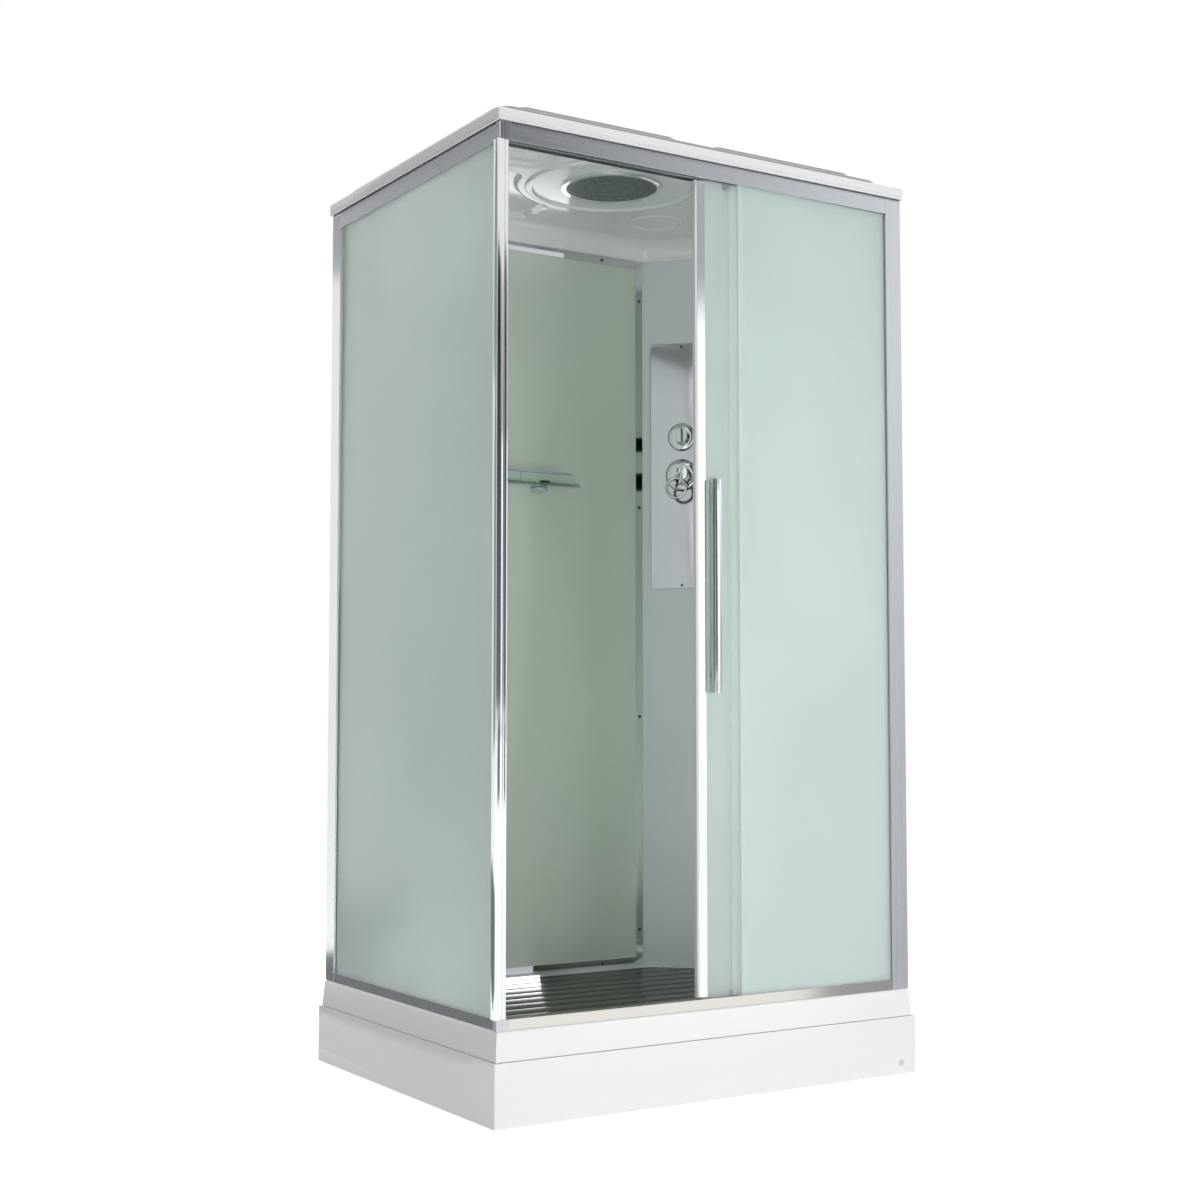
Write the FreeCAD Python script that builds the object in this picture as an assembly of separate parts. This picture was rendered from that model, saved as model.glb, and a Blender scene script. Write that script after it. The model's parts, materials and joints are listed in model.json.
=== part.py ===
"""Corner shower cabin: raised tray on a steel frame, glazed front and left side, a sliding door, framed
wall panels at the back and right, a diagonal services column and a domed roof with a rain shower head.

Every piece is laid out in millimetres from the tray apron's front left bottom corner, X to the right, Y to
the back and Z up. save() moves it, so that the part's origin is the middle of its footprint on the floor."""

import FreeCAD, Part
import math
import os

V = FreeCAD.Vector
X_AXIS = V(1, 0, 0)
Y_AXIS = V(0, 1, 0)
Z_AXIS = V(0, 0, 1)

# Overall sizes
cabin_width = 1150.0
cabin_depth = 900.0
roof_edge_top = 2150.0
cut_over = 5.0          # overrun of every cutting tool past the face that it opens
same_level = 0.05       # heights closer than this count as one
upright_share = 0.999   # least share of an edge's length that rises for it to count as upright
full_turn = 360.0
nut_sides = 6
seat_gap = 0.3          # gap between pieces that are close but carry each other elsewhere

# Apron and tray
apron_height = 134.0
apron_wall = 4.0
apron_return = 20.0
apron_corner_radius = 3.0
tray_rim_top = 197.0
tray_joint = 0.8        # shadow line between apron and tray
tray_lip_inset = 6.0
tray_rim_inset = 11.0
tray_wall = 4.0
tray_edge_radius = 6.0
rim_width = 51.0        # flat rim at the front and left, from the tray's top edge to the well
ledge_top = 169.0       # ledge that the wall panels stand on
well_floor = 118.0
well_back_ledge = 62.0  # ledge width behind the well
well_right_ledge = 41.0
well_corner_setback = 52.0
well_radius = 30.0

# Frame, feet and waste
tube_size = 30.0
tube_wall = 2.0
frame_inset = 45.0
foot_rod_radius = 6.0
foot_pad_radius = 25.0
foot_pad_height = 8.0
foot_pad_round = 2.5
foot_nut_height = 10.0
foot_nut_flats = 19.0
tab_thick = 4.0
tab_width = 30.0
tab_foot = 12.0         # lowest edge of a tab over the floor
tab_rear_arm = 25.0
apron_screw_z = 26.0
apron_screw_side = 45.0     # from the right end of the front apron
apron_screw_rear = 20.0     # from the rear end of the left apron
screw_cap_radius = 7.0
screw_cap_height = 1.8
screw_recess = 2.0
screw_shank_radius = 3.0
screw_shank_length = 9.0
screw_hole_gap = 0.2
waste_from_back = 190.0
waste_hole_radius = 45.0
waste_flange_radius = 56.0
waste_flange_thick = 2.0
waste_cover_radius = 54.0
waste_cover_rise = 10.0
waste_cover_round = 8.0
waste_cover_slots = 8
waste_cover_post = 6.0
waste_gap = 0.5
trap_radius = 52.0
trap_wall = 3.0
trap_bottom = 30.0
outlet_radius = 20.0
outlet_bore = 17.5
outlet_z = 58.0
outlet_end_gap = 20.0
outlet_spigot = 25.0        # full-size end that a drain socket slides over
outlet_neck_radius = 19.0

# Decking
slat_pitch = 67.0
slat_gap = 5.5
slat_thick = 15.0
slat_edge = 2.0
deck_edge_gap = 4.0
deck_corner_radius = 24.0
bearer_width = 40.0
bearer_end_gap = 14.0
bearer_count = 4

# Rails, posts and glass
rail_inset = 14.0
rail_face = 5.0
glass_thick = 5.0
gasket = 1.0
rail_web = 5.0
door_slot = 11.0
rail_depth = 40.0
rail_wall = 2.0
bottom_rail_height = 23.0
bottom_channel_floor = 7.0
bottom_rail_base = 2.0
bottom_inner_wall = 14.0
top_rail_height = 43.0
top_channel_depth = 16.0
gasket_seat = 3.0
track_drop = 14.0       # from the top rail's lower edge up to the wheel track
track_thick = 4.0
side_rail_width = 17.0
connector_inset = 12.0
connector_length = 29.0
connector_side = 19.0
connector_radius = 4.0
corner_post_width = 20.0
corner_post_side = 26.0
corner_post_wall = 1.5
corner_post_bite = 8.0
corner_face_width = 12.0
corner_face_step = 1.5
magnet_strip_thick = 3.0
magnet_strip_width = 9.0
post_wall = 2.0
post_bite = 12.0
glass_edge_gap = 4.0
rear_post_width = 48.0
rear_post_depth = 26.0
rear_post_end = 7.0     # from the tray apron's rear edge
front_post_width = 47.0
front_post_end = 8.0    # from the tray apron's right edge
front_post_depth = 15.0
front_post_leg = 10.0
rail_end_gap = 0.3
front_seal_width = 11.0
front_seal_past_middle = 72.0   # from the cabin's middle to the fixed pane's edge seal
front_seal_wall = 1.5
front_seal_lip = 19.0
front_seal_hook = 3.0
front_seal_hook_rear = 30.7

# Sliding door, as it stands open
door_past_seal = 115.0      # how far the open door stands out past the fixed pane's seal
door_magnet_gap = 0.5
door_clear = 1.0
door_end_gap = 1.0
door_seal_width = 6.0
door_profile_width = 22.0
door_profile_wall = 3.0
door_profile_bite = 10.0
door_rail_gap = 2.0     # between the door's edge pieces and the rails
door_glass_top_bite = 7.0
door_glass_bottom_bite = 14.0
fin_seal_width = 13.0
fin_seal_wall = 1.0
fin_bite = 10.5
fin_front = 29.4
fin_width = 3.0
handle_from_edge = 43.0
handle_size = 14.0
handle_gap = 10.0
handle_bottom = 902.0
handle_length = 488.0
handle_edge = 0.8
handle_mount_inset = 42.0
handle_mount_radius = 7.0
handle_nut_radius = 8.0
handle_nut_thick = 3.0
handle_hole_gap = 0.3
handle_bolt_radius = 3.5
wheel_radius = 11.0
wheel_width = 7.0
wheel_groove = 1.0
wheel_bore_gap = 0.06
wheel_track_gap = 0.05
wheel_side_gap = 0.3
axle_radius = 3.0
axle_head_radius = 5.0
axle_head_thick = 1.3
bracket_thick = 3.0
bracket_width = 24.0
bracket_below_rail = 13.0
bracket_spacer_radius = 5.0
bracket_boss_radius = 4.7
bracket_hole_radius = 5.0
boss_to_edge = 7.0
boss_recess = 0.4
bracket_over_axle = 8.0
bottom_bracket_top = 232.0
bottom_wheel_lift = 0.3
left_wheel_from_edge = 95.0
left_guide_from_edge = 105.0
right_wheel_inset = 66.0
wheel_from_slot = 1.0   # from the slot's inner edge to the wheel

# Wall panels and column
wall_from_back = 28.0   # from the cabin's back to the front face of the back panel's glass
panel_front_step = 4.0
panel_depth = 12.0
panel_rail = 22.0
panel_bite = 11.0
panel_slot_gap = 0.2
panel_top_gap = 1.0
back_panel_left_gap = 1.0
column_from_right = 206.0   # from the cabin's right side to the back panel's right end
right_glass_inset = 16.0    # from the apron's right edge to the inner face of the right panel's glass
right_panel_front = 62.0
column_thick = 4.0
column_return = 17.0
column_side_return = 12.0
wall_screw_radius = 4.5
wall_screw_head = 2.5
wall_screw_foot = 97.5      # from a panel's bottom to its lowest screw
wall_screw_end = 112.5      # from a panel's top to its last screw
wall_screw_rows = 4
rail_screw_from_end = 134.0

# Controls, measured along the column's face from its left end
plate_left = 28.0
plate_width = 174.0
plate_bottom = 1203.0
plate_height = 686.0
plate_proud = 6.0
plate_wall = 1.5
plate_radius = 12.0
plate_edge = 1.0
plate_screw_inset = 9.0
plate_screw_radius = 4.0
plate_screw_head = 2.0
diverter_z = 1625.0
diverter_rose_radius = 39.0
diverter_rose_height = 8.0
diverter_knob_radius = 21.0
diverter_knob_length = 40.0
diverter_grip_depth = 14.0
diverter_grip_width = 14.0
diverter_stem_radius = 6.0
mixer_z = 1518.0
mixer_rose_radius = 45.0
mixer_rose_height = 10.0
mixer_knob_radius = 26.0
mixer_knob_length = 46.0
mixer_stem_radius = 8.0
rose_edge = 2.5
knob_edge = 1.5
knob_gap = 0.4
neck_wall = 6.0
neck_gap = 0.3
stem_gap = 0.06
stem_depth = 20.0
valve_length = 46.0
valve_wall = 12.0
link_radius = 7.5
inlet_radius = 10.5
inlet_length = 15.0
inlet_spread = 38.0
inlet_reach = 60.0      # from the pipes' depth behind the column to an inlet's end
inlet_arm_radius = 9.0
ring_radius = 27.0
ring_wire = 4.0
ring_reach = 43.0
ring_turn = 6.0        # degrees that the ring hangs to the left of straight down
arm_size = 7.0
arm_slot_gap = 0.5
arm_pivot_depth = 14.0  # pivot behind the knob's front
arm_back_gap = 5.0
arm_slot_rise = 12.0    # slot above the mixer's axis, for the arm when it is lifted
ring_front_gap = 1.5    # between the ring's wire and the knob's front
pivot_radius = 2.0
pivot_gap = 0.06
pipe_radius = 7.5
pipe_wall = 1.0
pipe_bend = 22.0
pipe_hole_gap = 2.0

# Shelf
shelf_top = 1468.0
shelf_thick = 6.0
shelf_from_column = 248.0   # from the back panel's right end to the shelf
shelf_length = 408.0
shelf_depth = 114.0
shelf_wall_gap = 4.0
shelf_radius = 56.0
shelf_rail_radius = 4.0
shelf_rail_top = 23.0
shelf_rail_end = 47.0
shelf_rail_edge = 10.0
shelf_post_count = 3
shelf_bracket_width = 30.0
shelf_bracket_inset = 96.0
shelf_bracket_reach = 36.0
shelf_bracket_under = 14.0
shelf_bracket_over = 6.0

# Roof and rain head
roof_edge_height = 24.0
roof_inset = 5.0
roof_wall = 4.0
roof_corner_radius = 4.0
ceiling_rise = 27.0     # from the roof's edge up to the ceiling
dome_left = 36.0
dome_front = 58.0
dome_right_gap = 24.0
dome_back_gap = 34.0
dome_corner_radius = 45.0
dome_cove = 30.0
lobe_rise = 10.0
lobe_left = 97.0
lobe_right_gap = 102.0
lobe_front = 94.0
lobe_back_gap = 74.0
lobe_cross_gap_x = 47.0
lobe_cross_gap_y = 29.0
lobe_circle_radius = 238.0
lobe_corner_radius = 30.0
bead_radius = 208.0
bead_thick = 12.0
bead_drop = 5.0
disc_bead_x = 280.0
disc_bead_y = 215.0
disc_bead_radius = 67.0
disc_bead_thick = 5.0
disc_bead_drop = 3.0
head_radius = 116.0
head_hole_gap = 2.0
head_wall = 2.5
head_drop = 6.0
head_rise = 12.0
bezel_radius = 127.5
bezel_edge = 2.0
face_gap = 0.4
face_thick = 3.0
face_step = 1.0
nozzle_radius = 2.2
nozzle_drop = 2.0
nozzle_rows = ((38.0, 12), (66.0, 20), (94.0, 28))
head_inlet_radius = 10.5
head_inlet_length = 14.0

# Levels and planes that several pieces share
wall_front = cabin_depth - wall_from_back
back_panel_right = cabin_width - column_from_right
front_seal_left = cabin_width / 2 + front_seal_past_middle
door_open_left = front_seal_left - door_past_seal
handle_left = door_open_left + handle_from_edge
left_wheel_x = door_open_left + left_wheel_from_edge
left_guide_x = door_open_left + left_guide_from_edge
shelf_right = back_panel_right - shelf_from_column
shelf_left = shelf_right - shelf_length
ceiling_z = roof_edge_top + ceiling_rise
lobe_right = cabin_width - lobe_right_gap
lobe_back = cabin_depth - lobe_back_gap
roof_underside = roof_edge_top - roof_edge_height
bottom_rail_top = tray_rim_top + bottom_rail_height
top_rail_bottom = roof_underside - top_rail_height
channel = glass_thick + 2 * gasket
channel_start = rail_inset + rail_face
channel_end = channel_start + channel
slot_start = channel_end + rail_web
slot_end = slot_start + door_slot
rail_end = rail_inset + rail_depth
pane_face = channel_start + gasket
track_z = top_rail_bottom + track_drop
glass_bottom = tray_rim_top + bottom_channel_floor + gasket_seat
glass_top = top_rail_bottom + top_channel_depth - gasket_seat
front_post_left = cabin_width - front_post_end - front_post_width
front_post_right = cabin_width - front_post_end
rear_post_front = cabin_depth - rear_post_end - rear_post_width
rear_post_right = rail_inset + rear_post_depth
corner_post_right = connector_inset + corner_post_width
connector_right = connector_inset + connector_length
connector_rear = connector_inset + connector_side
rim_inner = tray_rim_inset + rim_width
well_right = cabin_width - tray_rim_inset - well_right_ledge
well_back = cabin_depth - tray_rim_inset - well_back_ledge
right_glass = cabin_width - right_glass_inset
right_panel_face = right_glass - panel_front_step
back_panel_face = wall_front - panel_front_step
panel_top = roof_underside - panel_top_gap
column_sum = back_panel_right + wall_front      # X + Y everywhere on the column's face
right_panel_rear = column_sum - right_panel_face
door_glass_face = slot_start + door_clear
door_low = bottom_rail_top + door_rail_gap
door_high = top_rail_bottom - door_rail_gap
door_right = right_panel_face + door_end_gap
door_closed_left = corner_post_right + magnet_strip_thick + door_magnet_gap
door_travel = door_open_left - door_closed_left
wheel_front = slot_end + wheel_from_slot
column_mid = plate_left + plate_width / 2
head_x = cabin_width / 2
head_y = cabin_depth / 2


def box(x0, x1, y0, y1, z0, z1):
    """Block between two corners."""
    return Part.makeBox(x1 - x0, y1 - y0, z1 - z0, V(x0, y0, z0))


def rod(x, y, z, radius, length, axis):
    """Round bar that starts at a point and runs along an axis."""
    return Part.makeCylinder(radius, length, V(x, y, z), axis)


def ring(x, y, z, outer, inner, length, axis):
    """Round bar with a bore."""
    return rod(x, y, z, outer, length, axis).cut(rod(x, y, z, inner, length, axis))


def prism(points, z0, z1):
    """Upright prism over a plan outline."""
    corners = [V(x, y, z0) for x, y in points]
    wire = Part.makePolygon(corners + corners[:1])
    return Part.Face(wire).extrude(V(0, 0, z1 - z0))


def frustum(inset_low, z0, inset_high, z1):
    """Block over the cabin's footprint whose four sides slope from one inset to another."""
    def layer(inset, z):
        right = cabin_width - inset
        back = cabin_depth - inset
        return [V(inset, inset, z), V(right, inset, z), V(right, back, z), V(inset, back, z)]

    low = layer(inset_low, z0)
    high = layer(inset_high, z1)
    outlines = [low[::-1], high]
    for k in range(4):
        n = (k + 1) % 4
        outlines.append([low[k], low[n], high[n], high[k]])
    faces = [Part.Face(Part.makePolygon(points + points[:1])) for points in outlines]
    return Part.Solid(Part.Shell(faces))


def joined(solids):
    """One solid out of pieces that touch."""
    return solids[0].multiFuse(solids[1:]).removeSplitter()


def upright_edges(shape):
    """Edges that run straight up."""
    found = []
    for edge in shape.Edges:
        ends = [v.Point for v in edge.Vertexes]
        if len(ends) == 2 and abs((ends[1] - ends[0]).normalize().z) > upright_share:
            found.append(edge)
    return found


def edges_at(shape, z):
    """Edges that lie wholly at one height."""
    found = []
    for edge in shape.Edges:
        limits = edge.BoundBox
        if abs(limits.ZMin - z) < same_level and abs(limits.ZMax - z) < same_level:
            found.append(edge)
    return found


def rounded_plate(x0, x1, y0, y1, z0, z1, radius):
    """Block with rounded upright corners."""
    block = box(x0, x1, y0, y1, z0, z1)
    return block.makeFillet(radius, upright_edges(block))


def on_column(shape):
    """Places a piece drawn on the column: x along its face from the left end, y into the wall."""
    placed = shape.copy()
    placed.rotate(V(0, 0, 0), Z_AXIS, -45)
    placed.translate(V(back_panel_right, wall_front, 0))
    return placed


def save(name, shape):
    """Writes one piece, moved so that the origin is the middle of the footprint."""
    placed = shape.copy()
    placed.translate(V(-cabin_width / 2, -cabin_depth / 2, 0))
    placed.exportStep(os.path.join("parts", name + ".step"))


# Base

def screw_places():
    """Head centre and inward direction of the two apron screws."""
    front = (V(cabin_width - apron_screw_side, 0, apron_screw_z), Y_AXIS)
    side = (V(0, cabin_depth - apron_screw_rear, apron_screw_z), X_AXIS)
    return (front, side)


def apron():
    """L-shaped panel round the front and left, with a return along its top edge."""
    outer = box(0, cabin_width, 0, cabin_depth, 0, apron_height)
    corner = [e for e in upright_edges(outer) if e.BoundBox.XMax < cut_over and e.BoundBox.YMax < cut_over]
    outer = outer.makeFillet(apron_corner_radius, corner)
    below = apron_height - apron_wall
    far_x = cabin_width + cut_over
    far_y = cabin_depth + cut_over
    panel = outer.cut(box(apron_wall, far_x, apron_wall, far_y, -cut_over, below))
    panel = panel.cut(
        box(apron_return, far_x, apron_return, far_y, 0, apron_height + cut_over)
    )
    for place, inward in screw_places():
        start = place - inward * cut_over
        seat = screw_cap_radius + screw_hole_gap
        hole = screw_shank_radius + screw_hole_gap
        panel = panel.cut(Part.makeCylinder(seat, cut_over + screw_recess, start, inward))
        panel = panel.cut(Part.makeCylinder(hole, 2 * cut_over, start, inward))
    return panel


def apron_screws():
    """Two round-capped screws in shallow recesses."""
    screws = []
    for place, inward in screw_places():
        head = place + inward * (screw_recess - screw_cap_height)
        cap = Part.makeCylinder(screw_cap_radius, screw_cap_height, head, inward)
        rim = [e for e in cap.Edges if (e.CenterOfMass - head).Length < seat_gap]
        cap = cap.makeFillet(screw_cap_height / 2, rim)
        screws.append(joined([cap, Part.makeCylinder(screw_shank_radius, screw_shank_length, head, inward)]))
    return Part.makeCompound(screws)


def well_outline(grow):
    """Plan of the tray's well, cut off beside the column, grown outwards by a margin."""
    low_x = rim_inner - grow
    low_y = rim_inner - grow
    right = well_right + grow
    back = well_back + grow
    diagonal = column_sum - well_corner_setback + grow * math.sqrt(2)
    corner_right = (right, diagonal - right)
    corner_back = (diagonal - back, back)
    return [(low_x, low_y), (right, low_y), corner_right, corner_back, (low_x, back)]


def shower_tray():
    """Moulded tray: sloped outer lip, flat rim, wall ledge and a well with a waste hole.

    It comes as three solids that meet face to face: the tray up to its ledge, and the rim over it."""
    lip_bottom = apron_height + tray_joint
    outer = frustum(tray_lip_inset, lip_bottom, tray_rim_inset, tray_rim_top)
    outer = outer.makeFillet(tray_edge_radius, edges_at(outer, tray_rim_top))
    ledge = box(rim_inner, cabin_width, rim_inner, cabin_depth, ledge_top, tray_rim_top + cut_over)
    back_x = rear_post_right + back_panel_left_gap
    back_ledge = box(back_x, cabin_width, well_back, cabin_depth, ledge_top, tray_rim_top + cut_over)
    body = outer.cut(ledge).cut(back_ledge)
    lip_inside = tray_lip_inset + tray_wall
    rim_inside = tray_rim_inset + tray_wall
    inner = frustum(lip_inside, lip_bottom, rim_inside, ledge_top - tray_wall)
    front_hollow = box(
        tray_rim_inset + tray_wall,
        cabin_width - tray_rim_inset - tray_wall,
        tray_rim_inset + tray_wall,
        rim_inner - tray_wall,
        ledge_top - tray_wall,
        tray_rim_top - tray_wall,
    )
    side_hollow = box(
        tray_rim_inset + tray_wall,
        rear_post_right + back_panel_left_gap - tray_wall,
        tray_rim_inset + tray_wall,
        cabin_depth - tray_rim_inset - tray_wall,
        ledge_top - tray_wall,
        tray_rim_top - tray_wall,
    )
    body = body.cut(inner).cut(front_hollow).cut(side_hollow)
    well = prism(well_outline(tray_wall), well_floor - tray_wall, ledge_top)
    well = well.makeFillet(well_radius + tray_wall, upright_edges(well))
    hollow = prism(well_outline(0), well_floor, ledge_top + cut_over)
    hollow = hollow.makeFillet(well_radius, upright_edges(hollow))
    body = body.fuse(well).cut(hollow)
    waste = rod(
        cabin_width / 2,
        cabin_depth - waste_from_back,
        well_floor - tray_wall - cut_over,
        waste_hole_radius,
        tray_wall + 2 * cut_over,
        Z_AXIS,
    )
    body = body.cut(waste).removeSplitter()
    over = tray_rim_top + cut_over
    base = body.common(box(0, cabin_width, 0, cabin_depth, 0, ledge_top))
    front_rim = body.common(box(0, cabin_width, 0, rim_inner, ledge_top, over))
    side_rim = body.common(box(0, rim_inner, rim_inner, cabin_depth, ledge_top, over))
    return Part.makeCompound(base.Solids + front_rim.Solids + side_rim.Solids)


def cross_middle(k):
    """X of a cross tube's centre line: the cross tubes divide the frame into thirds."""
    return frame_inset + k * (cabin_width - 2 * frame_inset) / 3


def frame_runs():
    """Plan extents of the frame's tubes: four round the edge and two across."""
    low_x = frame_inset
    high_x = cabin_width - frame_inset
    low_y = frame_inset
    high_y = cabin_depth - frame_inset
    runs = [
        (low_x, high_x, low_y, low_y + tube_size),
        (low_x, high_x, high_y - tube_size, high_y),
        (low_x, low_x + tube_size, low_y, high_y),
        (high_x - tube_size, high_x, low_y, high_y),
    ]
    for k in (1, 2):
        runs.append((cross_middle(k) - tube_size / 2, cross_middle(k) + tube_size / 2, low_y, high_y))
    return runs


def support_frame():
    """Welded square tube frame with two tabs that hold the apron's screws."""
    top = well_floor - tray_wall
    low = top - tube_size
    tubes = [box(x0, x1, y0, y1, low, top) for x0, x1, y0, y1 in frame_runs()]
    hollows = []
    for x0, x1, y0, y1 in frame_runs():
        hollows.append(
            box(
                x0 + tube_wall,
                x1 - tube_wall,
                y0 + tube_wall,
                y1 - tube_wall,
                low + tube_wall,
                top - tube_wall,
            )
        )
    shelf_top_z = low + tab_thick
    rear_arm = cabin_depth - frame_inset - tab_rear_arm
    (front, _), (side, _) = screw_places()
    tabs = [
        box(front.x - tab_width / 2, front.x + tab_width / 2, apron_wall, frame_inset, low, shelf_top_z),
        box(
            front.x - tab_width / 2,
            front.x + tab_width / 2,
            apron_wall,
            apron_wall + tab_thick,
            tab_foot,
            shelf_top_z,
        ),
        box(apron_wall, frame_inset, rear_arm, side.y + tab_width / 2, low, shelf_top_z),
        box(
            apron_wall,
            apron_wall + tab_thick,
            side.y - tab_width / 2,
            side.y + tab_width / 2,
            tab_foot,
            shelf_top_z,
        ),
    ]
    body = joined(tubes + tabs)
    for hollow in hollows:
        body = body.cut(hollow)
    for place, inward in screw_places():
        body = body.cut(Part.makeCylinder(screw_shank_radius + screw_hole_gap, frame_inset, place, inward))
    return body.removeSplitter()


def adjustable_feet():
    """Threaded feet under the frame's corners and under the ends of its cross tubes."""
    low = well_floor - tray_wall - tube_size
    mid = tube_size / 2
    feet = []
    far = cabin_width - frame_inset
    for x in (frame_inset + mid, cross_middle(1), cross_middle(2), far - mid):
        for y in (frame_inset + mid, cabin_depth - frame_inset - mid):
            pad = rod(x, y, 0, foot_pad_radius, foot_pad_height, Z_AXIS)
            pad = pad.makeFillet(foot_pad_round, edges_at(pad, foot_pad_height))
            stem = rod(x, y, 0, foot_rod_radius, low, Z_AXIS)
            flat = foot_nut_flats / math.sqrt(3)
            turns = [math.radians(k * full_turn / nut_sides) for k in range(nut_sides)]
            hexagon = [(x + flat * math.cos(t), y + flat * math.sin(t)) for t in turns]
            nut = prism(hexagon, low - foot_nut_height, low)
            feet.append(joined([pad, stem, nut]))
    return Part.makeCompound(feet)


def waste_body():
    """Flange over the waste hole, bottle trap under it and the outlet pipe to the back."""
    x = cabin_width / 2
    y = cabin_depth - waste_from_back
    top = well_floor - tray_wall
    neck_radius = waste_hole_radius - waste_gap
    end = cabin_depth - outlet_end_gap
    floor = trap_bottom + trap_wall
    outer = joined(
        [
            rod(x, y, well_floor, waste_flange_radius, waste_flange_thick, Z_AXIS),
            rod(x, y, top, neck_radius, well_floor - top, Z_AXIS),
            rod(x, y, trap_bottom, trap_radius, top - trap_bottom, Z_AXIS),
            rod(x, y, outlet_z, outlet_neck_radius, end - y, Y_AXIS),
            rod(x, end - outlet_spigot, outlet_z, outlet_radius, outlet_spigot, Y_AXIS),
        ]
    )
    inner = joined(
        [
            rod(x, y, floor, trap_radius - trap_wall, top - trap_wall - floor, Z_AXIS),
            rod(x, y, top - trap_wall, neck_radius - trap_wall, cabin_depth, Z_AXIS),
            rod(x, y, outlet_z, outlet_bore, cabin_depth, Y_AXIS),
        ]
    )
    return outer.cut(inner)


def waste_cover():
    """Shallow domed cover on a post that sits in the waste's neck."""
    x = cabin_width / 2
    y = cabin_depth - waste_from_back
    seat = well_floor + waste_flange_thick
    dish = rod(x, y, seat, waste_cover_radius, waste_cover_rise, Z_AXIS)
    dish = dish.makeFillet(waste_cover_round, edges_at(dish, seat + waste_cover_rise))
    slots = []
    for k in range(waste_cover_slots):
        slot = rod(x + waste_cover_radius, y, seat, waste_cover_post, waste_cover_rise / 2, Z_AXIS)
        slot.rotate(V(x, y, 0), Z_AXIS, k * full_turn / waste_cover_slots)
        slots.append(slot)
    for slot in slots:
        dish = dish.cut(slot)
    hollow = rod(x, y, seat, waste_hole_radius, waste_cover_rise / 2, Z_AXIS)
    foot = trap_bottom + trap_wall
    post = rod(x, y, foot, waste_cover_post, seat + waste_cover_rise / 2 - foot, Z_AXIS)
    return joined([dish.cut(hollow), post])


def deck_outline():
    """Plan of the decking, a small gap inside the well."""
    return well_outline(-deck_edge_gap)


def decking_slats():
    """Slats that run across the cabin, the last ones cut off beside the column."""
    low = ledge_top - slat_thick
    top = ledge_top
    points = deck_outline()
    x0, y0 = points[0]
    x1 = points[1][0]
    y1 = points[4][1]
    plan = prism(points, low - cut_over, top + cut_over)
    plan = plan.makeFillet(deck_corner_radius, upright_edges(plan))
    slats = []
    start = y0
    while start < y1 - slat_gap:
        end = min(start + slat_pitch - slat_gap, y1)
        slat = box(x0, x1, start, end, low, top)
        slat = slat.makeFillet(slat_edge, edges_at(slat, top))
        slats.append(slat.common(plan).Solids[0])
        start += slat_pitch
    return Part.makeCompound(slats)


def decking_bearers():
    """Battens on the well's floor under the slats."""
    points = deck_outline()
    x0, y0 = points[0]
    x1 = points[1][0]
    step = (x1 - x0) / bearer_count
    half = bearer_width / 2
    top = ledge_top - slat_thick
    plan = prism(well_outline(-bearer_end_gap), well_floor, top)
    battens = []
    for k in range(bearer_count):
        mid = x0 + k * step + step / 2
        battens.append(
            box(mid - half, mid + half, y0, cabin_depth, well_floor, top).common(plan)
        )
    return Part.makeCompound(battens)


# Rails, posts and fixed glass

def bottom_rail_front():
    """Threshold rail: a glass channel in front and the door's guide channel behind."""
    low = tray_rim_top
    high = bottom_rail_top
    left = corner_post_right + magnet_strip_thick + rail_end_gap
    right = cabin_width - front_post_end - front_post_leg - rail_end_gap
    body = box(left, right, rail_inset, rail_end, low, high)
    over = high + cut_over
    channel_low = low + bottom_channel_floor
    body = body.cut(box(left, right, channel_start, channel_end, channel_low, over))
    body = body.cut(box(left, right, slot_start, rail_end - rail_wall, low + bottom_rail_base, over))
    body = body.cut(box(left, right, slot_start, rail_end + cut_over, low + bottom_inner_wall, over))
    body = body.cut(box(0, connector_right, 0, slot_start, low, high + cut_over))
    post_rear = rail_inset + front_post_depth
    return body.cut(box(front_post_left, cabin_width, 0, post_rear, low, over))


def top_rail_front():
    """Head rail: a glass channel in front and a covered wheel track behind."""
    low = top_rail_bottom
    high = roof_underside
    left = corner_post_right + magnet_strip_thick + rail_end_gap
    right = cabin_width - front_post_end - front_post_leg - rail_end_gap
    inner = rail_end - rail_wall
    body = box(left, right, rail_inset, rail_end, low, high)
    body = body.cut(box(left, right, channel_start, channel_end, low - cut_over, low + top_channel_depth))
    body = body.cut(box(left, right, slot_start, slot_end, low - cut_over, track_z))
    body = body.cut(box(left, right, slot_start, inner, track_z, high - rail_wall))
    body = body.cut(box(left, right, slot_end, inner, low - cut_over, track_z - track_thick))
    hollow_low = low + top_channel_depth + rail_wall
    hollow_back = slot_start - rail_wall
    body = body.cut(box(left, right, rail_inset + rail_wall, hollow_back, hollow_low, high - rail_wall))
    body = body.cut(box(0, connector_right, 0, slot_start, low, high))
    return body.cut(box(front_post_left, cabin_width, 0, rail_inset + front_post_depth, low, high))


def side_rail(low, high, channel_low, channel_high):
    """Rail along the left side with one glass channel."""
    body = box(rail_inset, rail_inset + side_rail_width, connector_rear, rear_post_front, low, high)
    return body.cut(box(channel_start, channel_end, 0, cabin_depth, channel_low, channel_high))


def bottom_rail_left():
    """Lower rail of the left pane."""
    floor = tray_rim_top + bottom_channel_floor
    return side_rail(tray_rim_top, bottom_rail_top, floor, bottom_rail_top + cut_over)


def top_rail_left():
    """Upper rail of the left pane, hollow over its channel."""
    roof = top_rail_bottom + top_channel_depth
    body = side_rail(top_rail_bottom, roof_underside, top_rail_bottom - cut_over, roof)
    hollow = box(
        rail_inset + rail_wall,
        rail_inset + side_rail_width - rail_wall,
        0,
        cabin_depth,
        roof + rail_wall,
        roof_underside - rail_wall,
    )
    return body.cut(hollow)


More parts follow.
